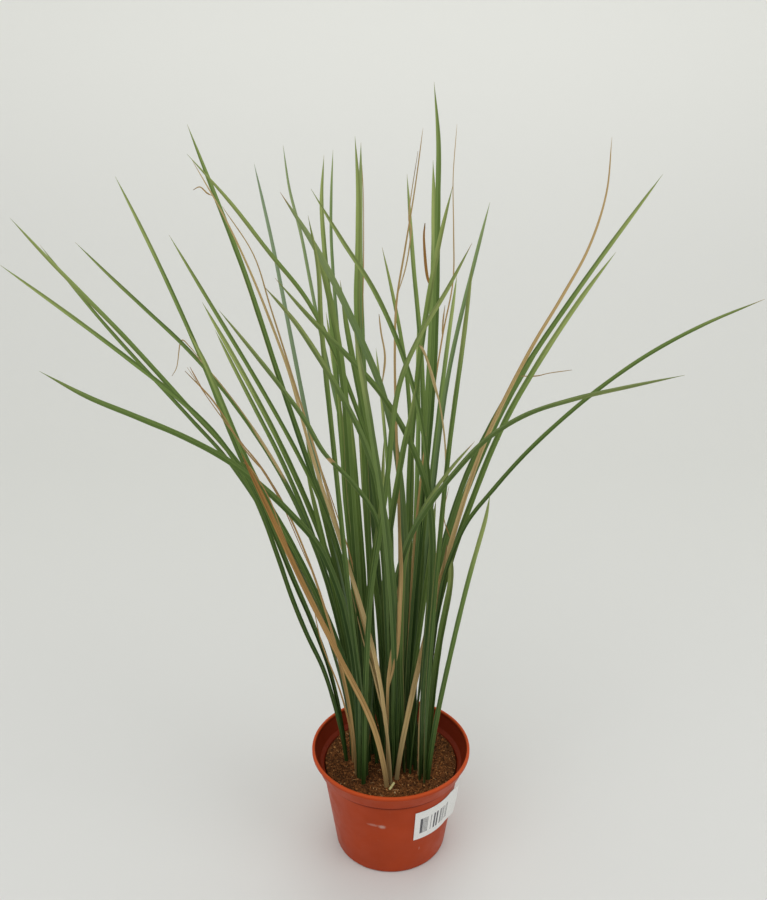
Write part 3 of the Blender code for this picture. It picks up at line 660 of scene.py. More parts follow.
def pot_plastic():
    """Terracotta-coloured plastic: faintly mottled, satin, painted darker inside as shade, with a painted
    shadow line under the band, a painted highlight on the lip, a scuff and a scratch.
    """
    made, tree, shader = new_surface("pot_plastic", 0.09)
    here = own_place(tree)
    colour = ramp(tree, clouds(tree, here, 38.0, 4.0), PLASTIC_STOPS)
    dust = clouds(tree, here, 420.0, 5.0, 0.65)
    colour = tinged(tree, colour, DUSTY_PLASTIC, dust, 0.63, 0.80, 0.20)
    # Painted shade: the inner wall over the soil is painted darker, as shade falls inside the pot
    inner_shade = calc(tree, "MULTIPLY", inside_the_pot(tree), 0.62)
    colour = blend_colours(tree, inner_shade, colour, PAINTED_SHADE_PLASTIC)
    height = shader_node(tree, "SeparateXYZ", {0: here}).outputs["Z"]
    # Painted highlight: the lip's top is painted brighter, as it faces up to the light
    colour = tinged(tree, colour, PAINTED_LIP_HIGHLIGHT, height, POT_HEIGHT - 0.0022, POT_HEIGHT - 0.0004, 0.55)
    # Painted shadow: a dark line on the wall just under the band, where the band shades it
    step = calc(tree, "ABSOLUTE", calc(tree, "SUBTRACT", height, BAND_FOOT_HEIGHT - UNDER_BAND))
    colour = tinged(tree, colour, PAINTED_SHADE_PLASTIC, step, 0.0016, 0.0002, 0.62)
    for pixel, size, strength in (SCUFF, SMEAR, SCRATCH):
        colour = blend_colours(tree, scuff(tree, pixel, size, strength), colour, WORN_PLASTIC)
    grain = clouds(tree, own_place(tree, (1.0, 1.0, 0.6)), 1500.0, 2.0)
    waves = clouds(tree, own_place(tree, (1.0, 1.0, 0.25)), 55.0, 2.0)
    normal = relief(tree, waves, 0.00030, 0.5)
    normal = relief(tree, grain, 0.00002, 0.6, normal)
    gloss = spread(tree, clouds(tree, here, 90.0, 4.0), 0.3, 0.7, 0.36, 0.50)
    drive(tree, shader, colour, gloss, normal)
    return made


def scuff(tree, pixel, size, strength):
    """How much of a worn mark there is."""
    here = shader_node(tree, "TexCoord").outputs["Object"]
    from_middle = {0: here, 1: tuple(-wall_point(pixel))}
    off = shader_node(tree, "VectorMath", from_middle, operation="ADD").outputs[0]
    scale = (1 / size[0], 1 / size[0], 1 / size[1])
    shaped = shader_node(tree, "VectorMath", {0: off, 1: scale}, operation="MULTIPLY").outputs[0]
    torn = clouds(tree, own_place(tree, (1.0, 1.0, 2.2)), 700.0, 4.0, 0.7)
    reach = calc(tree, "ADD", length_of(tree, shaped), calc(tree, "MULTIPLY", torn, 1.1))
    return calc(tree, "MULTIPLY", spread(tree, reach, 0.75, 1.4, 1.0, 0.0), strength)


def make_pot():
    """The moulded pot with its rolled lip, rim band, ledge and drained floor."""
    body = turned("moulded_pot", rounded(pot_section()), POT_STEPS, pot_plastic())
    ring = sum(CHANNEL_RADII) / 2
    bm = bmesh.new()
    for i in range(DRAIN_HOLES):
        turn = Matrix.Rotation(2 * math.pi * (i + 0.5) / DRAIN_HOLES, 4, "Z")
        hole = turn @ Matrix.Translation((ring, 0.0, POT_FLOOR))
        bmesh.ops.create_cone(bm, cap_ends=True, segments=DRAIN_HOLE_SIDES, radius1=DRAIN_HOLE_RADIUS,
                              radius2=DRAIN_HOLE_RADIUS, depth=4 * POT_FLOOR, matrix=hole)
    holes = finished(bm, "drain_holes")
    cut = body.modifiers.new("holes", "BOOLEAN")
    cut.operation = "DIFFERENCE"
    cut.solver = "EXACT"
    cut.object = holes
    shape = bpy.data.meshes.new_from_object(body.evaluated_get(bpy.context.evaluated_depsgraph_get()))
    body.modifiers.clear()
    body.data = shape
    shape.set_sharp_from_angle(angle=math.radians(50))
    bpy.data.objects.remove(holes)
    return stands_for(body, "pot_plastic", "pot")


# Soil


def soil_height(x, y):
    """How high the soil stands, with mounds, lumps and grit on it."""
    mound = noise.noise(Vector((x * 62, y * 62, 3.0)))
    lump = noise.noise(Vector((x * 210, y * 210, 8.0)))
    grit = noise.noise(Vector((x * 900, y * 900, 1.0)))
    edge = max(0.0, math.hypot(x, y) / SOIL_RADIUS - 0.9)
    return SOIL_TOP + SOIL_SWELL * (mound + 0.55 * lump + 0.20 * grit) - SOIL_EDGE_DROP * edge


def soil_surface(name, grain_scale):
    """Coarse brown fibre and peat; each grain has a tone of its own."""
    made, tree, shader = new_surface(name, 0.12)
    here = own_place(tree)
    fleck = clouds(tree, here, grain_scale, 4.0, 0.7)
    patch = clouds(tree, here, 60.0, 2.0)
    tone = calc(tree, "ADD", measure(tree, "tone"), swing(tree, fleck, 0.5))
    tone = calc(tree, "ADD", tone, swing(tree, patch, 0.35))
    rough = clouds(tree, here, grain_scale * 1.7, 3.0, 0.7)
    drive(tree, shader, ramp(tree, tone, SOIL_STOPS), 0.92, relief(tree, rough, 0.00025, 0.8))
    return made


def make_soil(feet):
    """The plug of soil with a fine uneven top, and the loose grains and fibres that lie on it."""
    rng = np.random.default_rng(SOIL_SEED)
    points = []
    for ring in range(1, SOIL_RINGS + 1):
        around = circle(SOIL_RADIUS * ring / SOIL_RINGS, SOIL_STEPS)
        points += [(x, y, soil_height(x, y)) for x, y in around]
    for radius, height in ((SOIL_RADIUS, SOIL_TOP - SOIL_SKIRT), (SOIL_FOOT_RADIUS, SOIL_FOOT)):
        points += [(x, y, height) for x, y in circle(radius, SOIL_STEPS)]
    middle = len(points)
    faces = [(a, d, c, b) for a, b, c, d in ring_faces(SOIL_RINGS + 2, SOIL_STEPS)]
    faces += [(middle, i, (i + 1) % SOIL_STEPS) for i in range(SOIL_STEPS)]
    faces.append(tuple(reversed(range(middle - SOIL_STEPS, middle))))
    points.append((0.0, 0.0, soil_height(0.0, 0.0)))
    tones = 0.30 + 0.10 * rng.standard_normal(len(points))
    plug = new_piece("soil_plug", points, faces, soil_surface("soil_bed", 1100.0), {"tone": tones})
    stands_for(plug, "soil", "potting_soil")
    stands_for(make_grains(rng, feet), "soil")
    stands_for(make_fibres(rng, feet), "soil")


def grain_kinds(rng):
    """Some irregular lumps, as corners and faces."""
    bm = bmesh.new()
    bmesh.ops.create_icosphere(bm, subdivisions=1, radius=1.0)
    ball = np.array([v.co for v in bm.verts])
    faces = np.array([[v.index for v in f.verts] for f in bm.faces])
    bm.free()
    kinds = []
    for _ in range(GRAIN_KINDS):
        kinds.append(ball * (1 + 0.28 * rng.standard_normal((len(ball), 1))).clip(0.5, 1.5))
    return kinds, faces


def random_turn(rng):
    """Any turn, as a matrix."""
    spin = rng.standard_normal(4)
    w, x, y, z = spin / np.linalg.norm(spin)
    return np.array((
        (1 - 2 * (y * y + z * z), 2 * (x * y - w * z), 2 * (x * z + w * y)),
        (2 * (x * y + w * z), 1 - 2 * (x * x + z * z), 2 * (y * z - w * x)),
        (2 * (x * z - w * y), 2 * (y * z + w * x), 1 - 2 * (x * x + y * y)),
    ))


def scattered(rng, reach):
    """A random place on the soil, no further than that from its middle."""
    radius = reach * math.sqrt(rng.random())
    angle = rng.random() * 2 * math.pi
    return radius * math.cos(angle), radius * math.sin(angle)


def between(limits, share):
    """A size between the smallest and the largest."""
    return limits[0] + (limits[1] - limits[0]) * share


def clear_of_feet(x, y, feet, room):
    """True where nothing grows out of the soil."""
    return all(math.hypot(x - fx, y - fy) > half + room for fx, fy, half in feet)


def make_grains(rng, feet):
    """Thousands of small lumps of peat, bark and fibre, joined in one mesh."""
    kinds, faces = grain_kinds(rng)
    all_points, all_faces, tones = [], [], []
    while len(all_faces) < GRAINS:
        x, y = scattered(rng, SOIL_RADIUS - 0.0004)
        size = between(GRAIN_SIZES, rng.random() ** 2.6)
        if not clear_of_feet(x, y, feet, size * 0.4):
            continue
        kind = kinds[rng.integers(GRAIN_KINDS)]
        shape = kind * (1.0, 0.6 + 0.4 * rng.random(), 0.4 + 0.5 * rng.random())
        rise = size * (0.15 + 0.5 * rng.random())
        at = np.array((x, y, soil_height(x, y) + rise))
        all_faces.append(faces + len(all_faces) * len(shape))
        all_points.append(shape @ random_turn(rng).T * size + at)
        worn = math.exp(-(math.dist((x, y), WORN_PATCH) / WORN_REACH) ** 2)
        tone = 0.42 + 0.22 * worn + 0.17 * rng.standard_normal()
        if rng.random() < 0.02:
            tone = 0.80 + 0.15 * rng.random()
        tones += [tone] * len(shape)
    grains = new_piece("soil_grains", np.concatenate(all_points), np.concatenate(all_faces).tolist(),
                       soil_surface("soil_grain", 2300.0), {"tone": tones})
    grains.data.shade_flat()
    return grains


def make_fibres(rng, feet):
    """Short curved fibres that lie on the soil."""
    points, faces, tones = [], [], []
    each = FIBRE_STEPS * FIBRE_SIDES
    edge = SOIL_RADIUS - 0.001
    while len(points) < FIBRES * each:
        x, y = scattered(rng, SOIL_RADIUS - 0.003)
        if not clear_of_feet(x, y, feet, 0.0006):
            continue
        heading = rng.random() * 2 * math.pi
        bend = rng.normal(0, 1.0)
        length = between(FIBRE_LENGTHS, rng.random() ** 1.5)
        thick = between(FIBRE_THICKNESSES, rng.random())
        lift = between(FIBRE_LIFTS, rng.random())
        tilt = rng.normal(0, 0.12)
        faces += [tuple(len(points) + k for k in face) for face in tube_faces(FIBRE_STEPS, FIBRE_SIDES)]
        for i in range(FIBRE_STEPS):
            t = i / (FIBRE_STEPS - 1)
            turn = heading + bend * t
            if i:
                x += math.cos(turn) * length / (FIBRE_STEPS - 1)
                y += math.sin(turn) * length / (FIBRE_STEPS - 1)
            inward = min(1.0, edge / math.hypot(x, y))
            x, y = x * inward, y * inward
            z = soil_height(x, y) + lift * (0.6 + 0.6 * math.sin(math.pi * t)) + tilt * (t - 0.5) * length
            side = np.array((-math.sin(turn), math.cos(turn), 0.0))
            here = np.array((x, y, z))
            size = thick * (1.0 - 0.6 * abs(2 * t - 1) ** 3)
            points += [here + side * size, here + (0, 0, size), here - side * size, here - (0, 0, size)]
        tones += [0.62 + 0.22 * rng.standard_normal()] * each
    return new_piece("soil_fibres", points, faces, soil_surface("soil_fibre", 1600.0), {"tone": tones})


# Price label


def label_paper():
    """White paper with a block of plain upright bars that say nothing."""
    made, tree, shader = new_surface("label_paper", 0.35)
    along, up, front = (measure(tree, "label_" + way) for way in ("along", "up", "front"))
    step = calc(tree, "FLOOR", calc(tree, "DIVIDE", along, BAR_STEP))
    dice = shader_node(tree, "TexWhiteNoise", {"W": step}, noise_dimensions="1D").outputs["Value"]
    first = calc(tree, "LESS_THAN", along, BARS_FROM + FIRST_BAR)
    inked = calc(tree, "MAXIMUM", calc(tree, "GREATER_THAN", dice, 0.52), first)
    for value, low, high in ((along, BARS_FROM, BARS_TO), (up, BARS_FOOT, BARS_TOP)):
        inked = calc(tree, "MULTIPLY", inked, calc(tree, "GREATER_THAN", value, low))
        inked = calc(tree, "MULTIPLY", inked, calc(tree, "LESS_THAN", value, high))
    inked = calc(tree, "MULTIPLY", inked, front)
    fibre = clouds(tree, own_place(tree), 900.0, 4.0, 0.65)
    colour = blend_colours(tree, inked, ramp(tree, fibre, PAPER_STOPS), ramp(tree, fibre, INK_STOPS))
    drive(tree, shader, colour, 0.62, relief(tree, fibre, 0.00003, 0.5))
    return made


def make_label():
    """The paper label, stuck round the wall with its far end standing off it."""
    points, values = [], []
    middle = wall_radius(LABEL_FOOT_HEIGHT + LABEL_HEIGHT / 2)
    for front in (1.0, 0.0):
        for i in range(LABEL_COLUMNS + 1):
            along = LABEL_LENGTH * i / LABEL_COLUMNS
            angle = LABEL_START + min(along, LABEL_PEEL_FROM) / middle
            loose = max(0.0, along - LABEL_PEEL_FROM)
            outward = np.array((math.sin(angle), -math.cos(angle), 0.0))
            onward = np.array((math.cos(angle), math.sin(angle), 0.0))
            lifted = onward * math.cos(LABEL_PEEL) + outward * math.sin(LABEL_PEEL)
            face = outward * math.cos(LABEL_PEEL) - onward * math.sin(LABEL_PEEL) if loose else outward
            curl = LABEL_CURL * (loose / (LABEL_LENGTH - LABEL_PEEL_FROM)) ** 2
            for j in range(LABEL_ROWS + 1):
                up = LABEL_HEIGHT * j / LABEL_ROWS
                height = LABEL_FOOT_HEIGHT + up
                off = LABEL_OFF_WALL + front * LABEL_THICKNESS + curl * math.sin(2.6 * up / LABEL_HEIGHT)
                point = outward * wall_radius(height) + lifted * loose + face * off
                points.append((point[0], point[1], height))
                values.append((along, up, front))
    rows = LABEL_ROWS + 1
    sheet = (LABEL_COLUMNS + 1) * rows
    last = LABEL_COLUMNS * rows
    faces = []
    for low in range(0, last, rows):
        for a in range(low, low + LABEL_ROWS):
            b = a + rows
            faces.append((a, b, b + 1, a + 1))
            faces.append((sheet + a, sheet + a + 1, sheet + b + 1, sheet + b))
        high = low + LABEL_ROWS
        faces.append((low, sheet + low, sheet + low + rows, low + rows))
        faces.append((high, high + rows, sheet + high + rows, sheet + high))
    for a in range(LABEL_ROWS):
        b = last + a
        faces.append((a, a + 1, sheet + a + 1, sheet + a))
        faces.append((b, sheet + b, sheet + b + 1, b + 1))
    measures = dict(zip(("label_along", "label_up", "label_front"), zip(*values)))
    label = new_piece("paper_label", points, faces, label_paper(), measures)
    label.data.set_sharp_from_angle(angle=math.radians(40))
    return stands_for(label, "label_paper", "price_label")


# Leaves


Form = namedtuple("Form", "name centre side face half lift thick")


def leaf_rings(node):
    """The corners of each ring of a leaf's solid, from its foot to its tip."""
    bm = bmesh.new()
    bm.from_mesh(node.data)
    bmesh.ops.remove_doubles(bm, verts=bm.verts, dist=MERGE)
    rest = np.array([v.co for v in bm.verts])
    bm.free()
    rings = []
    order = np.argsort(rest[:, 2])
    while len(rest):
        rings.append(rest[order[:RING_CORNERS]])
        rest = rest[order[RING_CORNERS:]]
        order = np.argsort(np.linalg.norm(rest - rings[-1].mean(0), axis=1))
    return rings


def leaf_form(name):
    """A leaf's middle line, directions and sizes along it, read from its solid."""
    rings = leaf_rings(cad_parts[name])
    tip = rings[-1]
    gaps = np.linalg.norm(tip[:, None] - tip[None], axis=2)
    one, other = np.unravel_index(np.argmax(gaps), gaps.shape)
    side = unit(tip[other] - tip[one])
    face = np.zeros(3)
    stations = []
    for ring in reversed(rings):
        reach = (ring - ring.mean(0)) @ side
        low, high = int(np.argmin(reach)), int(np.argmax(reach))
        under, over = (ring[i] for i in range(RING_CORNERS) if i not in (low, high))
        width, depth = ring[high] - ring[low], over - under
        if depth @ face < 0:
            depth = -depth
        side, face = unit(width), unit(depth)
        centre = (under + over) / 2
        lift = (centre - (ring[high] + ring[low]) / 2) @ face
        stations.append((centre, side, face, np.linalg.norm(width) / 2, lift, np.linalg.norm(depth)))
    centre, side, face, half, lift, thick = (np.array(part[::-1]) for part in zip(*stations))
    keel = np.sign(lift.sum()) or 1.0
    return Form(name, centre, side, face * keel, half, np.maximum(lift * keel, 0.0), thick)


def blade_mesh(form, surface, seed, dry_share, tint):
    """A fine folded blade on a leaf's form, its margins thin and its tip drawn out to a point."""
    rng = np.random.default_rng(LEAF_SEED + seed)
    parts = (smooth_through(part, STATIONS_PER_RING) for part in form[1:])
    centre, side, face, half, lift, thick = parts
    side, face = unit(side), unit(face)
    along = np.linspace(0.0, 1.0, len(centre))
    reach = run_along(centre)
    opened = np.clip((along - 0.06) / 0.12, 0.0, 1.0)
    thick = thick * (1 - opened + BLADE_THICKNESS * opened)
    lift = np.maximum(lift, 0.0) * (1.0 + 0.5 * rng.random())
    end = np.clip((along - TIP_FROM) / (1 - TIP_FROM), 0.0, 1.0)
    thick = thick * (1 - 0.6 * end**2)
    ripple = 1 + 0.035 * np.sin(reach * 210 + seed) * np.sin(reach * 67 + 2.0 * seed)
    half = np.maximum(half, 0.0001) * (1 - 0.75 * end**2) * ripple
    if surface.name == "dry_leaf":
        half = half * between((SHRUNK_FOOT, 1.0), np.clip(along / SHRUNK_PART, 0.0, 1.0))
    shares = np.array(SHARES_ACROSS + SHARES_ACROSS[-2:0:-1])
    upper = np.array([1.0] * len(SHARES_ACROSS) + [-1.0] * (len(SHARES_ACROSS) - 2))
    depth = np.sqrt(np.maximum(1 - shares**2, 0.0))
    sag = np.abs(shares) ** KEEL_ROUND
    out = -lift[:, None] * sag + 0.5 * thick[:, None] * depth * upper
    points = centre[:, None] + side[:, None] * (half[:, None] * shares)[..., None]
    points = points + face[:, None] * out[..., None]
    rings, corners = out.shape
    measures = for_each_corner(
        rings, corners, along=along[:, None], reach=reach[:, None], across=shares, seed=rng.random(),
        dry=dry_share(form, along[:, None], shares[None, :], rng), tint=between(tint, along)[:, None])
    name = form.name.replace("leaf", "blade")
    blade = new_piece(name, points.reshape(-1, 3), tube_faces(rings, corners), surface, measures)
    blade.data.set_sharp_from_angle(angle=math.radians(70))
    return blade


def right_side(form):
    """Which way across a leaf is its right or lower side in the view."""
    middle = len(form.centre) // 2
    here, beside = in_view(np.array([form.centre[middle], form.centre[middle] + form.side[middle] * 0.002]))
    return 1.0 if beside[0] > here[0] else -1.0


def place_along(form, pixel):
    """How far along a leaf a point of the view lies, from 0 at the foot to 1 at the tip."""
    line = smooth_through(form.centre, STATIONS_PER_RING)
    return nearest_in_view(line, pixel) / (len(line) - 1)


def window(values, low, high, soft=0.06):
    """One between two values, fading to zero outside them."""
    return np.clip((values - low) / soft + 0.5, 0, 1) * np.clip((high - values) / soft + 0.5, 0, 1)


def dryness(form, along, across, rng):
    """How dead a green leaf is: its very tip, at times one margin, and the marks it bears."""
    start = 0.975 - 0.03 * rng.random() ** 2
    withered = 0.35 + 0.5 * rng.random() ** 2
    dry = withered * np.clip((along - start) / (1.0 - start), 0.0, 1.0) ** 1.5 * np.ones_like(across)
    side = 1.0 if rng.random() < 0.5 else -1.0
    margin = np.clip((across * side - 0.80) * 6, 0.0, 1.0)
    dry = np.maximum(dry, margin * 0.7 * rng.random() ** 3)
    for mark in DEAD_MARGINS:
        if mark.leaf == form.name:
            low, high = sorted(place_along(form, pixel) for pixel in (mark.start, mark.end))
            edge = np.clip((across * right_side(form) * mark.side - mark.inner) * 4, 0.0, 1.0)
            dry = np.maximum(dry, edge * window(along, low, high))
    for mark in PALE_SPOTS:
        if mark.leaf == form.name:
            off = (along - place_along(form, mark.pixel)) / mark.length
            dry = np.maximum(dry, np.exp(-(off**2)) * np.ones_like(across))
    return np.clip(dry, 0.0, 1.0)


def all_dry(form, along, across, rng):
    """A dead leaf."""
    return np.ones_like(along * across)


def leaf_clouds(tree, noise_kind):
    """Soft noise on a leaf, drawn out along it and different on each leaf."""
    wide, long, detail, roughness = noise_kind
    across = calc(tree, "MULTIPLY", measure(tree, "across"), wide)
    reach = calc(tree, "MULTIPLY", measure(tree, "reach"), long)
    far = calc(tree, "MULTIPLY", measure(tree, "seed"), LEAF_APART)
    return clouds(tree, place(tree, across, reach, far), 1.0, detail, roughness)


def leaf_surface(name, stops, streak_and_shade, foot, roughness, specular):
    """A leaf's skin: it runs through its colours from foot to tip, with long fine streaks and veins;
    painted shade darkens it low down, one half is painted lighter and the other darker as light falls on
    its fold, and painted highlights lie along its margins and, partly, its pale rib.
    """
    made, tree, shader = new_surface(name, specular)
    along, across, seed, tint = (measure(tree, key) for key in ("along", "across", "seed", "tint"))
    streaks = leaf_clouds(tree, STREAK_NOISE)
    patches = leaf_clouds(tree, PATCH_NOISE)
    shift = calc(tree, "ADD", swing(tree, patches, 0.24), swing(tree, seed, 0.20))
    # Partly painted shade and light: each leaf runs darker towards its foot and paler up the leaf, partly
    # its own colour and partly as light falls on the clump
    colour = ramp(tree, calc(tree, "ADD", along, shift), stops)
    # Painted light and shade: one half of each blade is painted lighter and the other darker, as light
    # falls on a folded blade; which half flips from leaf to leaf
    flipped = swing(tree, calc(tree, "GREATER_THAN", seed, 0.35), 2.0)
    lit_side = calc(tree, "MULTIPLY", across, flipped)
    rib_and_edge_highlight = calc(tree, "ABSOLUTE", across)
    light, dark = streak_and_shade
    for other, value, low, high, share in (
        (light, streaks, 0.50, 0.78, 0.50),
        (dark, streaks, 0.46, 0.22, 0.50),
        (light, lit_side, 0.02, 0.16, PAINTED_FOLD_SHADING[0]),
        (dark, lit_side, -0.02, -0.16, PAINTED_FOLD_SHADING[1]),
        # A pale line along the rib, partly the leaf's own rib and partly painted highlight on the fold,
        # then painted highlights along both margins
        (light, rib_and_edge_highlight, 0.18, 0.03, 0.40),
        (light, rib_and_edge_highlight, 0.84, 0.99, 0.50),
        (COOL_GREEN, tint, 0.0, 1.0, 1.0),
    ):
        colour = tinged(tree, colour, other, value, low, high, share)
    straw = tinged(tree, ramp(tree, streaks, PALE_STRAW), ramp(tree, streaks, BROWN_STRAW), tint, -1.0, 1.0)
    edge = calc(tree, "ADD", measure(tree, "dry"), swing(tree, patches, 0.5))
    colour = tinged(tree, colour, straw, edge, 0.25, 0.75)
    # Painted shade: each leaf is painted darker near its foot, low in the clump where shade falls
    low = calc(tree, "ADD", along, calc(tree, "MULTIPLY", shift, 0.4))
    colour = tinged(tree, colour, foot, low, 0.16, 0.03, 0.6)
    veins = calc(tree, "SINE", calc(tree, "MULTIPLY", across, 30.0))
    normal = relief(tree, veins, 0.00003, 0.7)
    normal = relief(tree, streaks, 0.00010, 0.6, normal)
    gloss = spread(tree, patches, 0.3, 0.7, roughness - 0.06, roughness + 0.08)
    drive(tree, shader, colour, gloss, normal)
    return made


def make_leaves(green, dead):
    """Every leaf in fine detail, each in place of its solid. Returns the forms by name."""
    forms = {}
    names = sorted(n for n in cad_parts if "_leaf_" in n)
    for seed, name in enumerate(names):
        forms[name] = leaf_form(name)
        if name.startswith("green"):
            kind, surface, dry = "green_leaf", green, dryness
        else:
            kind, surface, dry = "dry_leaf", dead, all_dry
        blade = blade_mesh(forms[name], surface, seed, dry, TINTS.get(name, EVEN_TINT))
        stands_for(blade, kind, name)
    return forms


def traced_form(name, leaf):
    """The form of a blade that is drawn by its line in the view, from its foot in the soil."""
    foot = np.array((*leaf.foot, SOIL_TOP - FOOT_DEPTH))
    pixels = [in_view(foot)] + list(reversed(leaf.view_path))
    run = run_along(pixels)
    depths = between((foot[1], leaf.tip_depth), (run / run[-1]) ** LEAN_POWER)
    points = [foot, foot + (0.0, 0.0, FOOT_RISE)]
    points += [seen_at(pixel, depth) for pixel, depth in zip(pixels[1:], depths[1:])]
    centre = evenly_spaced(smooth_through(points, STATIONS_PER_RING), TRACED_RINGS)
    runs = unit(np.gradient(centre, axis=0))
    side = unit(np.cross(runs, (0.0, -1.0, 0.0)) + leaf.turn * np.cross(runs, (1.0, 0.0, 0.0)))
    face = unit(np.cross(runs, side))
    share = np.linspace(0.0, 1.0, TRACED_RINGS)
    opened = np.minimum(1.0, share / SHEATH_PART)
    width = leaf.width * between((SHEATH_WIDTH, 1.0), np.minimum(1.0, share / WIDEST_AT))
    half = np.maximum(width * (1 - NARROWING * share) * (1 - share**TAPER_POWER) ** TAPER_ROUND, 0.0005) / 2
    thick = SHEATH_THICKNESS * (1 - opened) + LEAF_THICKNESS * opened * (1 - 0.7 * share)
    return Form(name, centre, side, face, half, half * FOLD * opened, thick)


def evenly_spaced(points, count):
    """Points at equal steps along a line."""
    reach = run_along(points)
    at = np.linspace(0.0, reach[-1], count)
    return np.stack([np.interp(at, reach, points[:, k]) for k in range(3)], axis=1)


def make_inner_leaves(green):
    """The blades that fill the middle of the clump, half hidden between the others."""
    for number, leaf in enumerate(INNER_LEAVES):
        form = traced_form(f"inner_leaf_{number + 1:02d}", leaf)
        stands_for(blade_mesh(form, green, 100 + number, dryness, EVEN_TINT), "green_leaf")


def strand_line(strand, form):
    """A strand's middle line, from inside the leaf that carries it to its free end."""
    line = smooth_through(form.centre, STATIONS_PER_RING)
    root = line[nearest_in_view(line, strand.view_path[0])]
    run = run_along(strand.view_path)
    depths = root[1] + strand.drift * run / run[-1]
    points = [root] + [seen_at(pixel, depth) for pixel, depth in zip(strand.view_path[1:], depths[1:])]
    return smooth_through(points, STRAND_STEPS)


def make_strands(forms, dead):
    """Thin dead threads, split tips and curled ends, each growing out of the leaf that carries it."""
    angles = np.arange(STRAND_SIDES) * 2 * math.pi / STRAND_SIDES
    for number, strand in enumerate(STRANDS):
        centre = strand_line(strand, forms[strand.leaf])
        along = np.linspace(0.0, 1.0, len(centre))[:, None]
        runs = unit(np.gradient(centre, axis=0))
        side = unit(np.cross(runs, (0.0, -1.0, 0.0)))
        out = np.cross(runs, side)
        spin = 0.6 * np.sin(along * 5 + number)
        turned_side = side * np.cos(spin) + out * np.sin(spin)
        turned_out = out * np.cos(spin) - side * np.sin(spin)
        grown = between((STRAND_ROOT, 1.0), np.clip(along / STRAND_ROOT_PART, 0.0, 1.0))
        half = strand.width / 2 * (1 - 0.75 * along**4) * grown
        around = turned_side[:, None] * (np.cos(angles) * half)[..., None]
        around = around + turned_out[:, None] * (np.sin(angles) * STRAND_FLAT * half)[..., None]
        points = (centre[:, None] + around).reshape(-1, 3)
        measures = for_each_corner(
            len(centre), STRAND_SIDES, along=1 - along, reach=run_along(centre)[:, None],
            across=np.cos(angles), seed=(number * 0.37) % 1.0, dry=1.0, tint=strand.tint)
        faces = tube_faces(len(centre), STRAND_SIDES)
        piece = new_piece(f"dry_strand_{number + 1:02d}", points, faces, dead, measures)
        stands_for(piece, "dry_leaf")


def feet_of(forms):
    """Where each leaf comes out of the soil, as x, y and half its width."""
    feet = []
    for form in forms.values():
        line = smooth_through(form.centre, STATIONS_PER_RING)
        at = line[int(np.argmin(np.abs(line[:, 2] - SOIL_TOP)))]
        feet.append((at[0], at[1], form.half[0]))
    return feet


def make_stub():
    """The pale end of a leaf that was cut off."""
    made, tree, shader = new_surface("cut_stub", 0.4)
    fleck = clouds(tree, own_place(tree), 900.0, 3.0)
    drive(tree, shader, ramp(tree, fleck, STUB_STOPS), 0.6, relief(tree, fleck, 0.0001, 0.5))
    start, end = Vector(STUB_FOOT), Vector(STUB_END)
    turn = (end - start).to_track_quat("Z", "Y").to_matrix().to_4x4()
    bm = bmesh.new()
    place_at = Matrix.Translation((start + end) / 2) @ turn @ Matrix.Diagonal((1.0, 0.72, 1.0, 1.0))
    bmesh.ops.create_cone(bm, cap_ends=True, segments=STUB_SIDES, radius1=STUB_RADIUS,
                          radius2=STUB_RADIUS * 0.9, depth=(end - start).length, matrix=place_at)
    rims = [edge for edge in bm.edges if any(len(face.verts) > 4 for face in edge.link_faces)]
    bmesh.ops.bevel(bm, geom=rims, offset=0.0002, segments=2, affect="EDGES")
    stub = finished(bm, "cut_leaf_end")
    stub.data.materials.append(made)
    stub.data.shade_smooth()
    stub.data.set_sharp_from_angle(angle=math.radians(50))
    return stands_for(stub, "cut_stub", "cut_stub")


# Studio


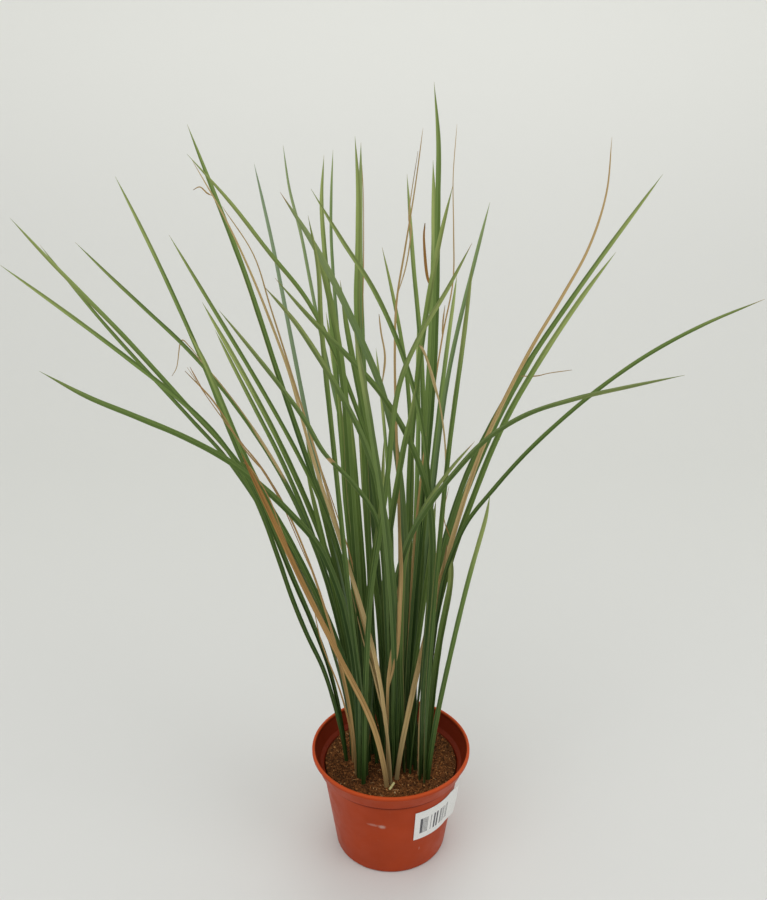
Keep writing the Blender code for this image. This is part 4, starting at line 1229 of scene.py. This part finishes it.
def make_stage():
    """A pale seamless floor that sweeps up into a backdrop, painted lighter as it rises, where light falls
    brighter on it.
    """
    made, tree, shader = new_surface("studio_paper", 0.1)
    axes = shader_node(tree, "SeparateXYZ", {0: own_place(tree)}).outputs
    colour = tinged(tree, FLOOR_NEAR, FLOOR_FAR, axes["Y"], -0.1, 0.8)
    # Painted light: the sweep is painted lighter as it rises, where light falls brighter on the backdrop
    colour = tinged(tree, colour, PAINTED_LIT_BACKDROP, axes["Z"], 0.0, 0.75)
    drive(tree, shader, colour, 0.9)
    start = SWEEP_FAR - SWEEP_TURN
    profile = [(SWEEP_NEAR, 0.0), (start, 0.0)]
    for a in np.linspace(0.05, math.pi / 2, 24):
        profile.append((start + SWEEP_TURN * math.sin(a), SWEEP_TURN - SWEEP_TURN * math.cos(a)))
    profile.append((SWEEP_FAR, SWEEP_TOP))
    points = [(x, y, z) for y, z in profile for x in (-SWEEP_WIDE, SWEEP_WIDE)]
    faces = [(2 * i, 2 * i + 1, 2 * i + 3, 2 * i + 2) for i in range(len(profile) - 1)]
    new_piece("studio_sweep", points, faces, made)


def add_light(name, at, target, size, power):
    """A soft square light that looks at a point."""
    lamp = bpy.data.lights.new(name, "AREA")
    lamp.shape = "SQUARE"
    lamp.size = size
    lamp.energy = power
    made = put_in_scene(name, lamp)
    made.location = at
    made.rotation_euler = (Vector(target) - Vector(at)).to_track_quat("-Z", "Y").to_euler()


def make_lights():
    """Soft studio light from all sides, most of it from above the camera."""
    world = bpy.data.worlds.new("studio_air")
    world.use_nodes = True
    air = world.node_tree.nodes["Background"].inputs
    air["Color"].default_value = (1.0, 1.0, 1.0, 1.0)
    air["Strength"].default_value = AIR_LIGHT
    bpy.context.scene.world = world
    for name, settings in LIGHTS.items():
        add_light(name, *settings)


def make_camera():
    """The camera at the photograph's place."""
    data = bpy.data.cameras.new("camera")
    data.sensor_width = SENSOR
    data.lens = VIEW_FOCAL / VIEW_HEIGHT * SENSOR
    data.clip_start = 0.01
    camera = put_in_scene("camera", data)
    camera.location = EYE
    camera.rotation_euler = (math.pi / 2 - EYE_TILT, 0.0, 0.0)
    bpy.context.scene.camera = camera


make_camera()
make_lights()
make_stage()
make_pot()
make_label()
make_stub()
green_skin = leaf_surface("green_leaf", GREEN_STOPS, GREEN_STREAK_AND_SHADE, GREEN_FOOT_SHADE, 0.48, 0.22)
dead_skin = leaf_surface("dry_leaf", DRY_STOPS, DRY_STREAK_AND_SHADE, DRY_FOOT_SHADE, 0.72, 0.15)
leaf_forms = make_leaves(green_skin, dead_skin)
make_inner_leaves(green_skin)
make_strands(leaf_forms, dead_skin)
make_soil(feet_of(leaf_forms))
bpy.context.scene.view_settings.view_transform = "Standard"
